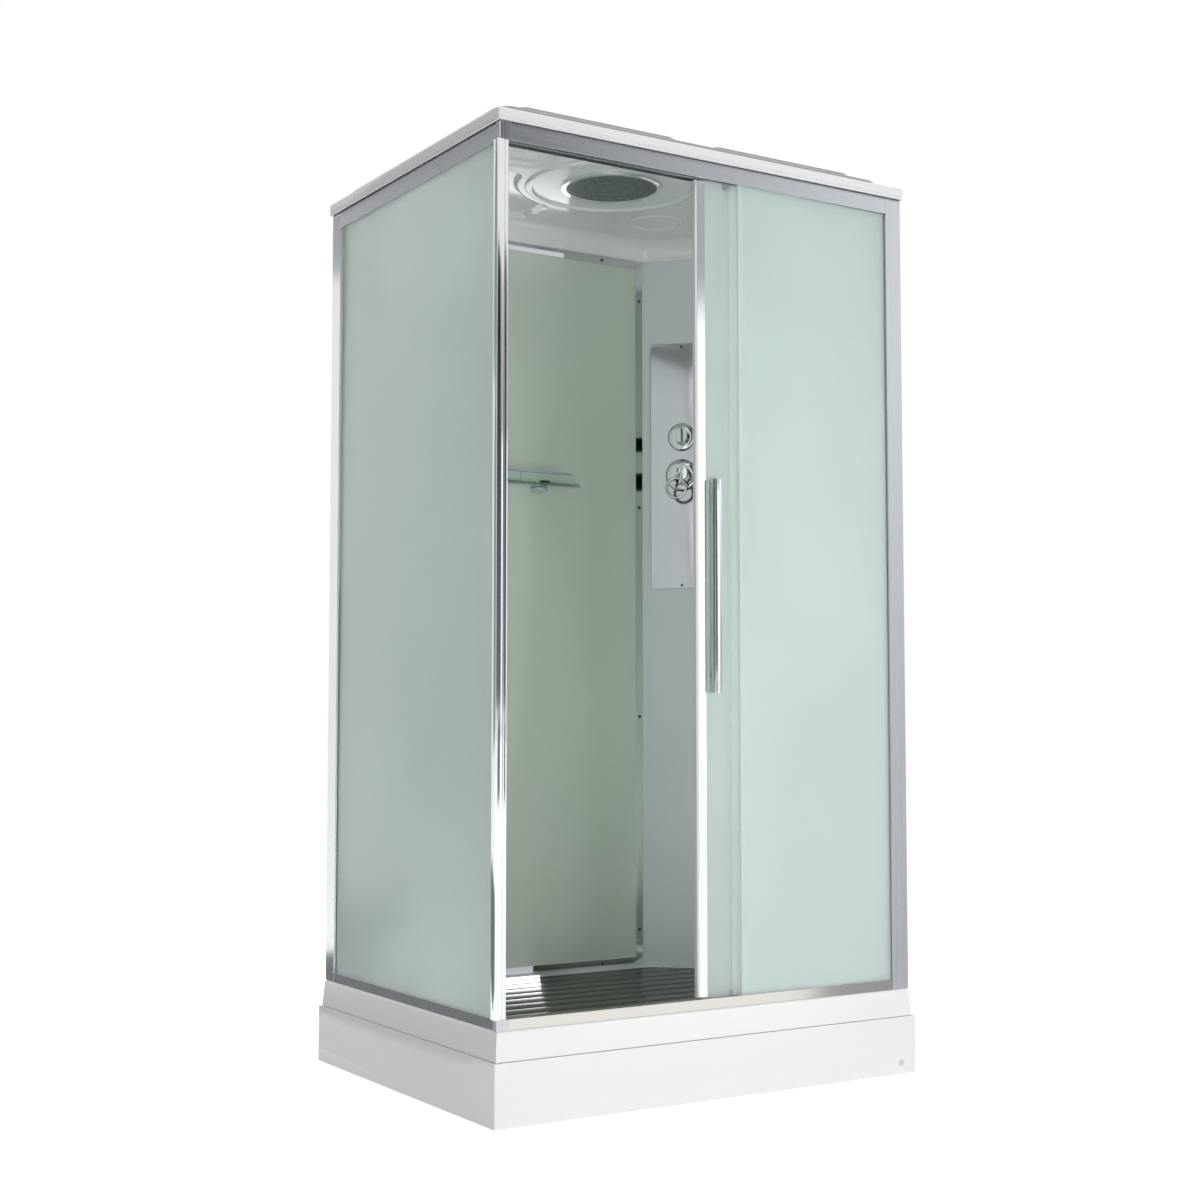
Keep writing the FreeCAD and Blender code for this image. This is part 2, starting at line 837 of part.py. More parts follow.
def corner_connectors():
    """Corner blocks that join the front and left rails above and below the corner post."""
    blocks = []
    for low, high in ((tray_rim_top, bottom_rail_top), (top_rail_bottom, roof_underside)):
        block = box(connector_inset, connector_right, connector_inset, connector_rear, low, high)
        outer = [
            e
            for e in upright_edges(block)
            if e.BoundBox.XMax < connector_inset + cut_over and e.BoundBox.YMax < connector_inset + cut_over
        ]
        blocks.append(block.makeFillet(connector_radius, outer))
    return Part.makeCompound(blocks)


def corner_post():
    """Slim post at the open corner, stepped beside its bright face, with a channel for the left pane."""
    x0 = connector_inset
    x1 = corner_post_right
    y0 = connector_inset
    y1 = connector_inset + corner_post_side
    body = box(x0, x1, y0, y1, bottom_rail_top, top_rail_bottom)
    step = box(x0 + corner_face_width, x1 + cut_over, 0, y0 + corner_face_step, 0, roof_edge_top)
    pocket = box(channel_start, channel_end, y1 - corner_post_bite, y1 + cut_over, 0, roof_edge_top)
    inner_y0 = y0 + corner_face_step + corner_post_wall
    inner_y1 = y1 - corner_post_bite - corner_post_wall
    inner_x0 = x0 + corner_post_wall
    inner_x1 = x1 - corner_post_wall
    hollow = box(inner_x0, inner_x1, inner_y0, inner_y1, 0, roof_edge_top)
    return body.cut(step).cut(pocket).cut(hollow)


def corner_magnet_strip():
    """Magnetic strip on the corner post that the closed door meets."""
    rear = connector_inset + corner_post_side
    left = corner_post_right
    return box(left, left + magnet_strip_thick, rear - magnet_strip_width, rear, door_low, door_high)


def rear_left_post():
    """Hollow post at the back of the left pane."""
    y0 = rear_post_front
    y1 = cabin_depth - rear_post_end
    body = box(rail_inset, rear_post_right, y0, y1, tray_rim_top, roof_underside)
    body = body.cut(box(channel_start, channel_end, 0, y0 + post_bite, tray_rim_top, roof_underside))
    hollow_front = y0 + post_bite + post_wall
    return body.cut(
        box(
            rail_inset + post_wall,
            rear_post_right - post_wall,
            hollow_front,
            y1 - post_wall,
            tray_rim_top,
            roof_underside,
        )
    )


def front_right_post():
    """Post at the right of the fixed pane, with a leg back to the right wall panel."""
    y1 = rail_inset + front_post_depth
    body = box(front_post_left, front_post_right, rail_inset, y1, tray_rim_top, roof_underside)
    bite = front_post_left + post_bite
    body = body.cut(box(0, bite, channel_start, channel_end, tray_rim_top, roof_underside))
    hollow_left = front_post_left + post_bite + post_wall
    body = body.cut(
        box(
            hollow_left,
            front_post_right - post_wall,
            rail_inset + post_wall,
            y1 - post_wall,
            tray_rim_top,
            roof_underside,
        )
    )
    leg_left = front_post_right - front_post_leg
    leg = box(leg_left, front_post_right, y1, right_panel_front, tray_rim_top, roof_underside)
    return joined([body, leg])


def left_glass():
    """Fixed pane on the left side."""
    front = connector_rear + gasket
    rear = rear_post_front + post_bite - glass_edge_gap
    return box(pane_face, pane_face + glass_thick, front, rear, glass_bottom, glass_top)


def front_glass():
    """Fixed pane to the right of the doorway."""
    left = front_seal_left + front_seal_wall
    right = front_post_left + post_bite - glass_edge_gap
    return box(left, right, pane_face, pane_face + glass_thick, glass_bottom, glass_top)


def glazing_seals():
    """Soft strips between the fixed panes and their channels."""
    floor = tray_rim_top + bottom_channel_floor
    roof = top_rail_bottom + top_channel_depth
    front = channel_start
    back = channel_end
    left_pane = left_glass()
    front_pane = front_glass()
    left_start = connector_rear
    strips = [
        box(front, back, left_start, rear_post_front, floor, bottom_rail_top).cut(left_pane),
        box(front, back, left_start, rear_post_front, top_rail_bottom, roof).cut(left_pane),
        box(front, back, rear_post_front, rear_post_front + post_bite, floor, roof).cut(left_pane),
        box(front_seal_left, front_post_left, front, back, floor, bottom_rail_top).cut(front_pane),
        box(front_seal_left, front_post_left, front, back, top_rail_bottom, roof).cut(front_pane),
        box(front_post_left, front_post_left + post_bite, front, back, floor, roof).cut(front_pane),
    ]
    solids = []
    for strip in strips:
        solids.extend(strip.Solids)
    return Part.makeCompound(solids)


def front_glass_seal():
    """Clear strip on the fixed pane's free edge, with a lip that catches the door's fin."""
    low = bottom_rail_top + rail_end_gap
    high = top_rail_bottom - rail_end_gap
    left = front_seal_left
    face = pane_face - front_seal_wall
    rear = pane_face + glass_thick + front_seal_wall
    grip = box(left, left + front_seal_width, face, rear, low, high)
    lip = box(left - front_seal_lip, left, rear - front_seal_wall, rear, low, high)
    hook_left = left - front_seal_lip
    hook_right = hook_left + front_seal_hook
    hook = box(hook_left, hook_right, rear - front_seal_wall, front_seal_hook_rear, low, high)
    return joined([grip, lip, hook]).cut(front_glass())


# Sliding door

def wheel_places():
    """X and axle height of the four wheels: two on the track, two in the threshold channel."""
    track_axle = track_z + wheel_radius + wheel_track_gap
    guide_axle = tray_rim_top + bottom_rail_base + wheel_radius + bottom_wheel_lift
    right = door_right - right_wheel_inset
    return {
        "top_roller_left": (left_wheel_x, track_axle),
        "top_roller_right": (right, track_axle),
        "bottom_roller_left": (left_guide_x, guide_axle),
        "bottom_roller_right": (right, guide_axle),
    }


def boss_level(name):
    """Height of the hole in the door's glass that carries a wheel bracket."""
    if name.startswith("top"):
        return top_rail_bottom - boss_to_edge
    return bottom_bracket_top - boss_to_edge


def door_glass():
    """Sliding pane with drilled holes for its handle and wheel brackets."""
    left = door_open_left + door_seal_width + door_profile_width - door_profile_bite
    right = door_right - fin_seal_width + fin_bite
    low = bottom_rail_top - door_glass_bottom_bite
    high = top_rail_bottom + door_glass_top_bite
    pane = box(left, right, door_glass_face, door_glass_face + glass_thick, low, high)
    for name, (x, _) in wheel_places().items():
        pane = pane.cut(rod(x, 0, boss_level(name), bracket_hole_radius, cabin_depth, Y_AXIS))
    for z in handle_levels():
        pane = pane.cut(rod(handle_x(), 0, z, handle_bolt_radius + handle_hole_gap, cabin_depth, Y_AXIS))
    return pane


def door_profile():
    """Bright channel along the door's leading edge."""
    left = door_open_left + door_seal_width
    right = left + door_profile_width
    front = door_glass_face - door_profile_wall
    rear = door_glass_face + glass_thick + door_profile_wall
    glass_rear = door_glass_face + glass_thick
    bite = right - door_profile_bite
    body = box(left, right, front, rear, door_low, door_high)
    return body.cut(box(bite, right + cut_over, door_glass_face, glass_rear, 0, roof_edge_top))


def door_magnet_seal():
    """Magnetic seal in front of the leading edge."""
    front = door_glass_face - door_profile_wall
    rear = door_glass_face + glass_thick + door_profile_wall
    return box(door_open_left, door_open_left + door_seal_width, front, rear, door_low, door_high)


def door_fin_seal():
    """Seal on the trailing edge, with a fin towards the fixed pane."""
    left = door_right - fin_seal_width
    front = door_glass_face - fin_seal_wall
    rear = door_glass_face + glass_thick + fin_seal_wall
    grip = box(left, door_right, front, rear, door_low, door_high)
    fin = box(door_right - fin_width, door_right, fin_front, front, door_low, door_high)
    return joined([grip, fin]).cut(door_glass())


def handle_x():
    """Middle of the handle bar."""
    return handle_left + handle_size / 2


def handle_levels():
    """Heights of the handle's two mounts."""
    return (handle_bottom + handle_mount_inset, handle_bottom + handle_length - handle_mount_inset)


def door_handle():
    """Square bar handle."""
    rear = door_glass_face - handle_gap
    bar = box(
        handle_left,
        handle_left + handle_size,
        rear - handle_size,
        rear,
        handle_bottom,
        handle_bottom + handle_length,
    )
    return bar.makeFillet(handle_edge, bar.Edges)


def door_handle_mounts():
    """Round spacers between bar and glass, bolts through the glass and cap nuts inside."""
    rear = door_glass_face - handle_gap
    back = door_glass_face + glass_thick
    mounts = []
    for z in handle_levels():
        spacer = rod(handle_x(), rear, z, handle_mount_radius, handle_gap, Y_AXIS)
        bolt = rod(handle_x(), rear, z, handle_bolt_radius, back - rear, Y_AXIS)
        nut = rod(handle_x(), back, z, handle_nut_radius, handle_nut_thick, Y_AXIS)
        mounts.append(joined([spacer, bolt, nut]))
    return Part.makeCompound(mounts)


def roller_brackets(prefix):
    """Plates on the back of the glass, each with a boss in the glass and an axle for its wheel."""
    face = door_glass_face + glass_thick
    plate_rear = face + bracket_thick
    pieces = []
    for name, (x, axle) in wheel_places().items():
        if not name.startswith(prefix):
            continue
        boss_z = boss_level(name)
        if prefix == "top":
            low = top_rail_bottom - bracket_below_rail
            high = axle + bracket_over_axle
        else:
            low = axle - bracket_over_axle
            high = bottom_bracket_top
        plate = box(x - bracket_width / 2, x + bracket_width / 2, face, plate_rear, low, high)
        spacer_length = wheel_front - wheel_side_gap - plate_rear
        spacer = rod(x, plate_rear, axle, bracket_spacer_radius, spacer_length, Y_AXIS)
        head_y0 = wheel_front + wheel_width + wheel_side_gap
        axle_pin = rod(x, face, axle, axle_radius, head_y0 + axle_head_thick - face, Y_AXIS)
        head = rod(x, head_y0, axle, axle_head_radius, axle_head_thick, Y_AXIS)
        boss_face = door_glass_face + boss_recess
        boss = rod(x, boss_face, boss_z, bracket_boss_radius, plate_rear - boss_face, Y_AXIS)
        pieces.append(joined([plate, spacer, axle_pin, head, boss]))
    return Part.makeCompound(pieces)


def roller(name):
    """Grooved wheel on its axle."""
    x, axle = wheel_places()[name]
    body = rod(x, wheel_front, axle, wheel_radius, wheel_width, Y_AXIS)
    body = body.makeFillet(wheel_groove, [e for e in body.Edges if e.Closed])
    return body.cut(rod(x, 0, axle, axle_radius + wheel_bore_gap, cabin_depth, Y_AXIS))


# Wall panels and column

def framed_panel(length):
    """Rails, uprights and glass of a panel drawn flat: x along it, y into the wall from the frame's face."""
    low = ledge_top
    high = panel_top
    glass = box(
        panel_rail - panel_bite,
        length - panel_rail + panel_bite,
        panel_front_step,
        panel_front_step + glass_thick,
        low + panel_rail - panel_bite,
        high - panel_rail + panel_bite,
    )
    slot = box(
        panel_rail - panel_bite - panel_slot_gap,
        length - panel_rail + panel_bite + panel_slot_gap,
        panel_front_step,
        panel_front_step + glass_thick,
        low + panel_rail - panel_bite - panel_slot_gap,
        high - panel_rail + panel_bite + panel_slot_gap,
    )
    rails = [
        box(panel_rail, length - panel_rail, 0, panel_depth, low, low + panel_rail).cut(slot),
        box(panel_rail, length - panel_rail, 0, panel_depth, high - panel_rail, high).cut(slot),
    ]
    uprights = [
        box(0, panel_rail, 0, panel_depth, low, high).cut(slot),
        box(length - panel_rail, length, 0, panel_depth, low, high).cut(slot),
    ]
    return glass, rails, uprights


def back_panel():
    """Framed back panel in its place, as glass, rails and uprights."""
    left = rear_post_right + back_panel_left_gap
    glass, rails, uprights = framed_panel(back_panel_right - left)
    for piece in [glass] + rails + uprights:
        piece.translate(V(left, back_panel_face, 0))
    return glass, rails, uprights


def right_panel():
    """Framed right panel in its place: the flat panel turned to face left."""
    glass, rails, uprights = framed_panel(right_panel_rear - right_panel_front)
    for piece in [glass] + rails + uprights:
        piece.rotate(V(0, 0, 0), Z_AXIS, -90)
        piece.translate(V(right_panel_face, right_panel_rear, 0))
    return glass, rails, uprights


def column_panel():
    """Folded sheet across the corner, drilled for the controls."""
    left = back_panel_right + seat_gap
    near = right_panel_rear + seat_gap
    back_sum = column_sum + column_thick * math.sqrt(2)
    side = right_panel_face + column_side_return
    points = [
        (left, column_sum - left),
        (column_sum - near, near),
        (side, near),
        (side, near + column_thick),
        (back_sum - near - column_thick, near + column_thick),
        (left + column_thick, back_sum - left - column_thick),
        (left + column_thick, wall_front + column_return),
        (left, wall_front + column_return),
    ]
    sheet = prism(points, ledge_top, panel_top)
    for z, neck in ((diverter_z, diverter_neck()), (mixer_z, mixer_neck())):
        hole = rod(column_mid, -cut_over, z, neck + neck_gap, 4 * cut_over, Y_AXIS)
        sheet = sheet.cut(on_column(hole))
    return sheet


def wall_screws():
    """Round-headed screws in the panels' uprights and in the back panel's rails."""
    places = []
    left = rear_post_right + back_panel_left_gap
    low = ledge_top + wall_screw_foot
    step = (panel_top - wall_screw_end - low) / (wall_screw_rows - 1)
    for z in [low + k * step for k in range(wall_screw_rows)]:
        for x in (left + panel_rail / 2, back_panel_right - panel_rail / 2):
            places.append((V(x, back_panel_face, z), -Y_AXIS))
        for y in (right_panel_front + panel_rail / 2, right_panel_rear - panel_rail / 2):
            places.append((V(right_panel_face, y, z), -X_AXIS))
    for z in (ledge_top + panel_rail / 2, panel_top - panel_rail / 2):
        for x in (left + rail_screw_from_end, back_panel_right - rail_screw_from_end):
            places.append((V(x, back_panel_face, z), -Y_AXIS))
    screws = []
    for place, outward in places:
        head = Part.makeCylinder(wall_screw_radius, wall_screw_head, place, outward)
        crown = place + outward * wall_screw_head
        rim = [e for e in head.Edges if (e.CenterOfMass - crown).Length < seat_gap]
        screws.append(head.makeFillet(wall_screw_head / 2, rim))
    return Part.makeCompound(screws)


# Controls

def diverter_neck():
    """Radius of the diverter valve's neck."""
    return diverter_stem_radius + neck_wall


def mixer_neck():
    """Radius of the mixer valve's neck."""
    return mixer_stem_radius + neck_wall


def control_plate():
    """Polished cover plate with folded edges, held off the column by its own depth."""
    x1 = plate_left + plate_width
    z1 = plate_bottom + plate_height
    plate = box(plate_left, x1, -plate_proud, 0, plate_bottom, z1)
    along = [e for e in plate.Edges if e.BoundBox.YLength > plate_proud - seat_gap]
    plate = plate.makeFillet(plate_radius, along)
    front = [e for e in plate.Edges if e.BoundBox.YMax < -plate_proud + seat_gap]
    plate = plate.makeFillet(plate_edge, front)
    hollow = box(
        plate_left + plate_radius,
        x1 - plate_radius,
        -plate_proud + plate_wall,
        cut_over,
        plate_bottom + plate_radius + plate_screw_inset,
        z1 - plate_radius - plate_screw_inset,
    )
    plate = plate.cut(hollow)
    for z, neck in ((diverter_z, diverter_neck()), (mixer_z, mixer_neck())):
        plate = plate.cut(rod(column_mid, -2 * cut_over, z, neck + neck_gap, 4 * cut_over, Y_AXIS))
    return on_column(plate)


def plate_screws():
    """Two screws on the plate's centre line."""
    screws = []
    for z in (plate_bottom + plate_screw_inset, plate_bottom + plate_height - plate_screw_inset):
        crown = -plate_proud - plate_screw_head
        head = rod(column_mid, crown, z, plate_screw_radius, plate_screw_head, Y_AXIS)
        rim = [e for e in head.Edges if e.BoundBox.YMax < -plate_proud - plate_screw_head + seat_gap]
        screws.append(on_column(head.makeFillet(plate_screw_head / 2, rim)))
    return Part.makeCompound(screws)


def rose(z, radius, height, bore):
    """Round escutcheon on the plate with a softened front edge."""
    front = -plate_proud - height
    body = rod(column_mid, front, z, radius, height, Y_AXIS)
    body = body.makeFillet(rose_edge, [e for e in body.Edges if e.BoundBox.YMax < front + seat_gap])
    return on_column(body.cut(rod(column_mid, front - cut_over, z, bore, height + 2 * cut_over, Y_AXIS)))


def valve(z, neck, stem):
    """Valve body behind the column, with a neck through it and a blind bore for the control's stem."""
    barrel = rod(column_mid, column_thick, z, neck + valve_wall, valve_length, Y_AXIS)
    collar = rod(column_mid, -plate_proud, z, neck, plate_proud + column_thick, Y_AXIS)
    bore = rod(column_mid, -plate_proud, z, stem + stem_gap, plate_proud + stem_depth + stem_gap, Y_AXIS)
    return [barrel, collar], bore


def valve_mid():
    """Depth of the pipes behind the column's face."""
    return column_thick + valve_length / 2


def mixer_valve():
    """Mixer valve with hot and cold inlets pointing back."""
    solids, bore = valve(mixer_z, mixer_neck(), mixer_stem_radius)
    y = valve_mid()
    seat = inlet_reach - inlet_length
    arm_low = column_mid - inlet_spread
    solids.append(rod(arm_low, y, mixer_z, inlet_arm_radius, 2 * inlet_spread, X_AXIS))
    for x in (arm_low, column_mid + inlet_spread):
        solids.append(Part.makeSphere(inlet_arm_radius, V(x, y, mixer_z)))
        solids.append(rod(x, y, mixer_z, inlet_arm_radius, seat, Y_AXIS))
        solids.append(rod(x, y + seat, mixer_z, inlet_radius, inlet_length, Y_AXIS))
    return on_column(joined(solids).cut(bore))


def diverter_valve():
    """Diverter valve, fed from the mixer by a short link pipe."""
    solids, bore = valve(diverter_z, diverter_neck(), diverter_stem_radius)
    y = valve_mid()
    low = mixer_z + mixer_neck() + valve_wall
    solids.append(rod(column_mid, y, low, link_radius, diverter_z - low, Z_AXIS))
    body = joined(solids)
    barrel = rod(column_mid, column_thick, mixer_z, mixer_neck() + valve_wall, valve_length, Y_AXIS)
    return on_column(body.cut(barrel).cut(bore))


def diverter_knob():
    """Round knob with a raised grip bar across it, and its stem."""
    front = -plate_proud - diverter_rose_height - knob_gap - diverter_knob_length
    base_front = front + diverter_grip_depth
    rear = -plate_proud - diverter_rose_height - knob_gap
    base = rod(column_mid, base_front, diverter_z, diverter_knob_radius, rear - base_front, Y_AXIS)
    grip = rod(column_mid, front, diverter_z, diverter_knob_radius, diverter_grip_depth, Y_AXIS)
    half = diverter_grip_width / 2
    reach = diverter_knob_radius + cut_over
    low = diverter_z - reach
    high = diverter_z + reach
    bar = box(column_mid - half, column_mid + half, front, base_front, low, high)
    grip = grip.common(bar)
    grip = grip.makeFillet(knob_edge, [e for e in grip.Edges if e.BoundBox.YMax < front + seat_gap])
    stem = rod(column_mid, rear, diverter_z, diverter_stem_radius, stem_depth - rear, Y_AXIS)
    return on_column(joined([base, grip, stem]))


def mixer_front():
    """Depth of the mixer knob's front."""
    return -plate_proud - mixer_rose_height - knob_gap - mixer_knob_length


def turned_to_ring(shape):
    """Turns a piece drawn with its arm straight down so that the arm follows the ring."""
    placed = shape.copy()
    placed.rotate(V(column_mid, 0, mixer_z), Y_AXIS, ring_turn)
    return placed


def mixer_knob():
    """Cylindrical knob, slotted for the lever's arm, with the arm's pivot pin and its stem."""
    front = mixer_front()
    rear = front + mixer_knob_length
    body = rod(column_mid, front, mixer_z, mixer_knob_radius, mixer_knob_length, Y_AXIS)
    body = body.makeFillet(knob_edge, [e for e in body.Edges if e.BoundBox.YMax < front + seat_gap])
    half = arm_size / 2 + arm_slot_gap
    pivot_y = front + arm_pivot_depth
    slot = box(
        column_mid - half,
        column_mid + half,
        front - cut_over,
        pivot_y + arm_back_gap,
        mixer_z - mixer_knob_radius - cut_over,
        mixer_z + arm_slot_rise,
    )
    pin_left = column_mid - mixer_knob_radius / 2
    pin = rod(pin_left, pivot_y, mixer_z - half, pivot_radius, mixer_knob_radius, X_AXIS)
    stem = rod(column_mid, rear, mixer_z, mixer_stem_radius, stem_depth - rear, Y_AXIS)
    body = joined([body.cut(slot), pin, stem])
    return on_column(turned_to_ring(body))


def mixer_lever():
    """Ring lever: an arm from the pivot inside the knob, bent down to a round loop before its front."""
    front = mixer_front()
    pivot_y = front + arm_pivot_depth
    half = arm_size / 2
    pivot_z = mixer_z - half - arm_slot_gap
    loop_y = front - ring_front_gap - ring_wire
    loop_z = mixer_z - ring_reach
    x0 = column_mid - half
    x1 = column_mid + half
    arm = box(x0, x1, loop_y - half, pivot_y, pivot_z - half, pivot_z + half)
    drop = box(x0, x1, loop_y - half, loop_y + half, loop_z + ring_radius - ring_wire / 2, pivot_z + half)
    hub = rod(column_mid - half, pivot_y, pivot_z, half, arm_size, X_AXIS)
    loop = Part.makeTorus(ring_radius, ring_wire, V(column_mid, loop_y, loop_z), Y_AXIS)
    bore = rod(column_mid - arm_size, pivot_y, pivot_z, pivot_radius + pivot_gap, 2 * arm_size, X_AXIS)
    body = joined([arm, drop, hub, loop]).cut(bore)
    return on_column(turned_to_ring(body))


def riser_pipe():
    """Pipe from the diverter up behind the column, over the roof and down to the rain head."""
    inlet_top = ceiling_z + head_rise + head_inlet_length
    level = inlet_top + pipe_bend
    scale = math.sqrt(0.5)
    start_x = back_panel_right + (column_mid + valve_mid()) * scale
    start_y = wall_front + (valve_mid() - column_mid) * scale
    start = V(start_x, start_y, diverter_z + diverter_neck() + valve_wall)
    way = V(head_x - start_x, head_y - start_y, 0)
    way.normalize()
    turn = pipe_bend * scale
    rise = V(start_x, start_y, level - pipe_bend)
    rise_mid = rise + way * (pipe_bend - turn) + Z_AXIS * turn
    rise_end = V(start_x, start_y, level) + way * pipe_bend
    fall = V(head_x, head_y, level) - way * pipe_bend
    fall_end = V(head_x, head_y, level - pipe_bend)
    fall_mid = fall_end - way * (pipe_bend - turn) + Z_AXIS * turn
    path = Part.Wire(
        [
            Part.makeLine(start, rise),
            Part.Arc(rise, rise_mid, rise_end).toShape(),
            Part.makeLine(rise_end, fall),
            Part.Arc(fall, fall_mid, fall_end).toShape(),
        ]
    )

    def along(radius):
        section = Part.Wire([Part.makeCircle(radius, start, Z_AXIS)])
        return path.makePipeShell([section], True, False)

    return along(pipe_radius).cut(along(pipe_radius - pipe_wall))


# Roof, rain head and shelf

def dome_outline(grow):
    """Plan of the ceiling's hollow, cut off beside the column, grown outwards by a margin."""
    left = dome_left - grow
    front = dome_front - grow
    right = cabin_width - dome_right_gap + grow
    back = cabin_depth - dome_back_gap + grow
    diagonal = column_sum - roof_wall + grow * math.sqrt(2)
    return [(left, front), (right, front), (right, diagonal - right), (diagonal - back, back), (left, back)]


def dome(grow, low, high):
    """Coved hollow of the ceiling, or the shell round it when grown."""
    body = prism(dome_outline(grow), low, high)
    body = body.makeFillet(dome_corner_radius + grow, upright_edges(body))
    return body.makeFillet(dome_cove + grow, edges_at(body, high))


def lobes(grow, low, high):
    """Three raised panels of the ceiling, each a rounded rectangle bitten by the circle round the head."""
    tall = high - low + 2 * cut_over
    circle = rod(head_x, head_y, low - cut_over, lobe_circle_radius - grow, tall, Z_AXIS)
    left = (lobe_left - grow, head_x - lobe_cross_gap_x + grow)
    right = (head_x + lobe_cross_gap_x - grow, lobe_right + grow)
    front = (lobe_front - grow, head_y - lobe_cross_gap_y + grow)
    back = (head_y + lobe_cross_gap_y - grow, lobe_back + grow)
    solids = []
    for (x0, x1), (y0, y1) in ((left, front), (right, front), (left, back)):
        block = rounded_plate(x0, x1, y0, y1, low, high, lobe_corner_radius)
        solids.append(block.cut(circle))
    return solids


def roof():
    """Moulded roof: edge band, flat border, coved dome, raised lobes, beads and the head's hole."""
    low = roof_underside
    top = roof_edge_top
    right = cabin_width - roof_inset
    back = cabin_depth - roof_inset
    rim = rounded_plate(roof_inset, right, roof_inset, back, low, top, roof_corner_radius)
    inset = roof_inset + roof_wall
    under = box(inset, cabin_width - inset, inset, cabin_depth - inset, low - cut_over, top - roof_wall)
    ceiling_top = ceiling_z + roof_wall
    outer = [rim.cut(under), dome(roof_wall, low, ceiling_top)]
    outer += lobes(roof_wall, ceiling_top - roof_wall / 2, ceiling_top + lobe_rise)
    body = joined(outer)
    body = body.cut(dome(0, low - cut_over, ceiling_z))
    for lobe in lobes(0, ceiling_z - cut_over, ceiling_z + lobe_rise):
        body = body.cut(lobe)
    beads = []
    for x, y, radius, thick, drop in (
        (head_x, head_y, bead_radius, bead_thick, bead_drop),
        (head_x + disc_bead_x, head_y + disc_bead_y, disc_bead_radius, disc_bead_thick, disc_bead_drop),
    ):
        bead = Part.makeTorus(radius, thick, V(x, y, ceiling_z - drop + thick))
        slab_high = ceiling_z + roof_wall / 2
        beads.append(bead.common(box(0, cabin_width, 0, cabin_depth, ceiling_z - thick, slab_high)))
    body = joined([body] + beads)
    hole = rod(head_x, head_y, low, head_radius + head_hole_gap, cabin_depth, Z_AXIS)
    scale = math.sqrt(0.5)
    pipe_x = back_panel_right + (column_mid + valve_mid()) * scale
    pipe_y = wall_front + (valve_mid() - column_mid) * scale
    pipe_hole = rod(pipe_x, pipe_y, low, pipe_radius + pipe_hole_gap, cabin_depth, Z_AXIS)
    return body.cut(hole).cut(pipe_hole)


def rain_head_body():
    """Flat chamber through the ceiling with its inlet on top."""
    low = ceiling_z - head_drop
    high = ceiling_z + head_rise
    chamber = rod(head_x, head_y, low, head_radius, high - low, Z_AXIS)
    inlet = rod(head_x, head_y, high, head_inlet_radius, head_inlet_length, Z_AXIS)
    inner_radius = head_radius - head_wall
    inner_height = high - low + cut_over - head_wall
    hollow = rod(head_x, head_y, low - cut_over, inner_radius, inner_height, Z_AXIS)
    bore = rod(head_x, head_y, low, head_inlet_radius - head_wall, cabin_depth, Z_AXIS)
    return joined([chamber, inlet]).cut(hollow).cut(bore)


def rain_head_bezel():
    """Bright ring under the ceiling round the head."""
    low = ceiling_z - head_drop
    outer = rod(head_x, head_y, low, bezel_radius, head_drop, Z_AXIS)
    outer = outer.makeFillet(bezel_edge, edges_at(outer, low))
    return outer.cut(rod(head_x, head_y, low, head_radius, head_drop, Z_AXIS))


def rain_head_face():
    """Round spray face with a shallow step and rings of nozzles."""
    radius = head_radius - head_wall - face_gap
    low = ceiling_z - head_drop + face_step
    face = rod(head_x, head_y, low, radius, face_thick, Z_AXIS)
    nozzles = []
    for ring_size, count in nozzle_rows:
        for k in range(count):
            turn = 2 * math.pi * k / count
            x = head_x + ring_size * math.cos(turn)
            y = head_y + ring_size * math.sin(turn)
            nozzles.append(rod(x, y, low - nozzle_drop, nozzle_radius, nozzle_drop, Z_AXIS))
    seat = ring(head_x, head_y, low + face_thick, radius, radius - head_wall, head_rise - face_thick, Z_AXIS)
    return joined([face, seat] + nozzles)


def shelf_glass():
    """Glass shelf with rounded front corners."""
    rear = wall_front - shelf_wall_gap
    front = rear - shelf_depth
    slab = box(shelf_left, shelf_right, front, rear, shelf_top - shelf_thick, shelf_top)
    corners = [e for e in upright_edges(slab) if e.BoundBox.YMax < front + seat_gap]
    return slab.makeFillet(shelf_radius, corners)


def shelf_rail():
    """Guard rail along the shelf's front on short posts."""
    y = wall_front - shelf_wall_gap - shelf_depth + shelf_rail_edge
    low = shelf_left + shelf_rail_end
    high = shelf_right - shelf_rail_end
    bar_z = shelf_top + shelf_rail_top
    solids = [rod(low, y, bar_z, shelf_rail_radius, high - low, X_AXIS)]
    step = (high - low) / (shelf_post_count - 1)
    for k in range(shelf_post_count):
        x = low + k * step
        solids.append(rod(x, y, shelf_top, shelf_rail_radius, shelf_rail_top, Z_AXIS))
        solids.append(Part.makeSphere(shelf_rail_radius, V(x, y, bar_z)))
    return joined(solids)


def shelf_brackets():
    """Two clamps that hold the shelf's back edge to the wall glass."""
    rear = wall_front
    front = rear - shelf_wall_gap - shelf_bracket_reach
    clamps = []
    for x in (shelf_left + shelf_bracket_inset, shelf_right - shelf_bracket_inset):
        half = shelf_bracket_width / 2
        low = shelf_top - shelf_thick - shelf_bracket_under
        clamp = box(x - half, x + half, front, rear, low, shelf_top + shelf_bracket_over)
        low = shelf_top - shelf_thick
        slot = box(x - half, x + half, front - cut_over, rear - shelf_wall_gap, low, shelf_top)
        clamps.append(clamp.cut(slot))
    return Part.makeCompound(clamps)


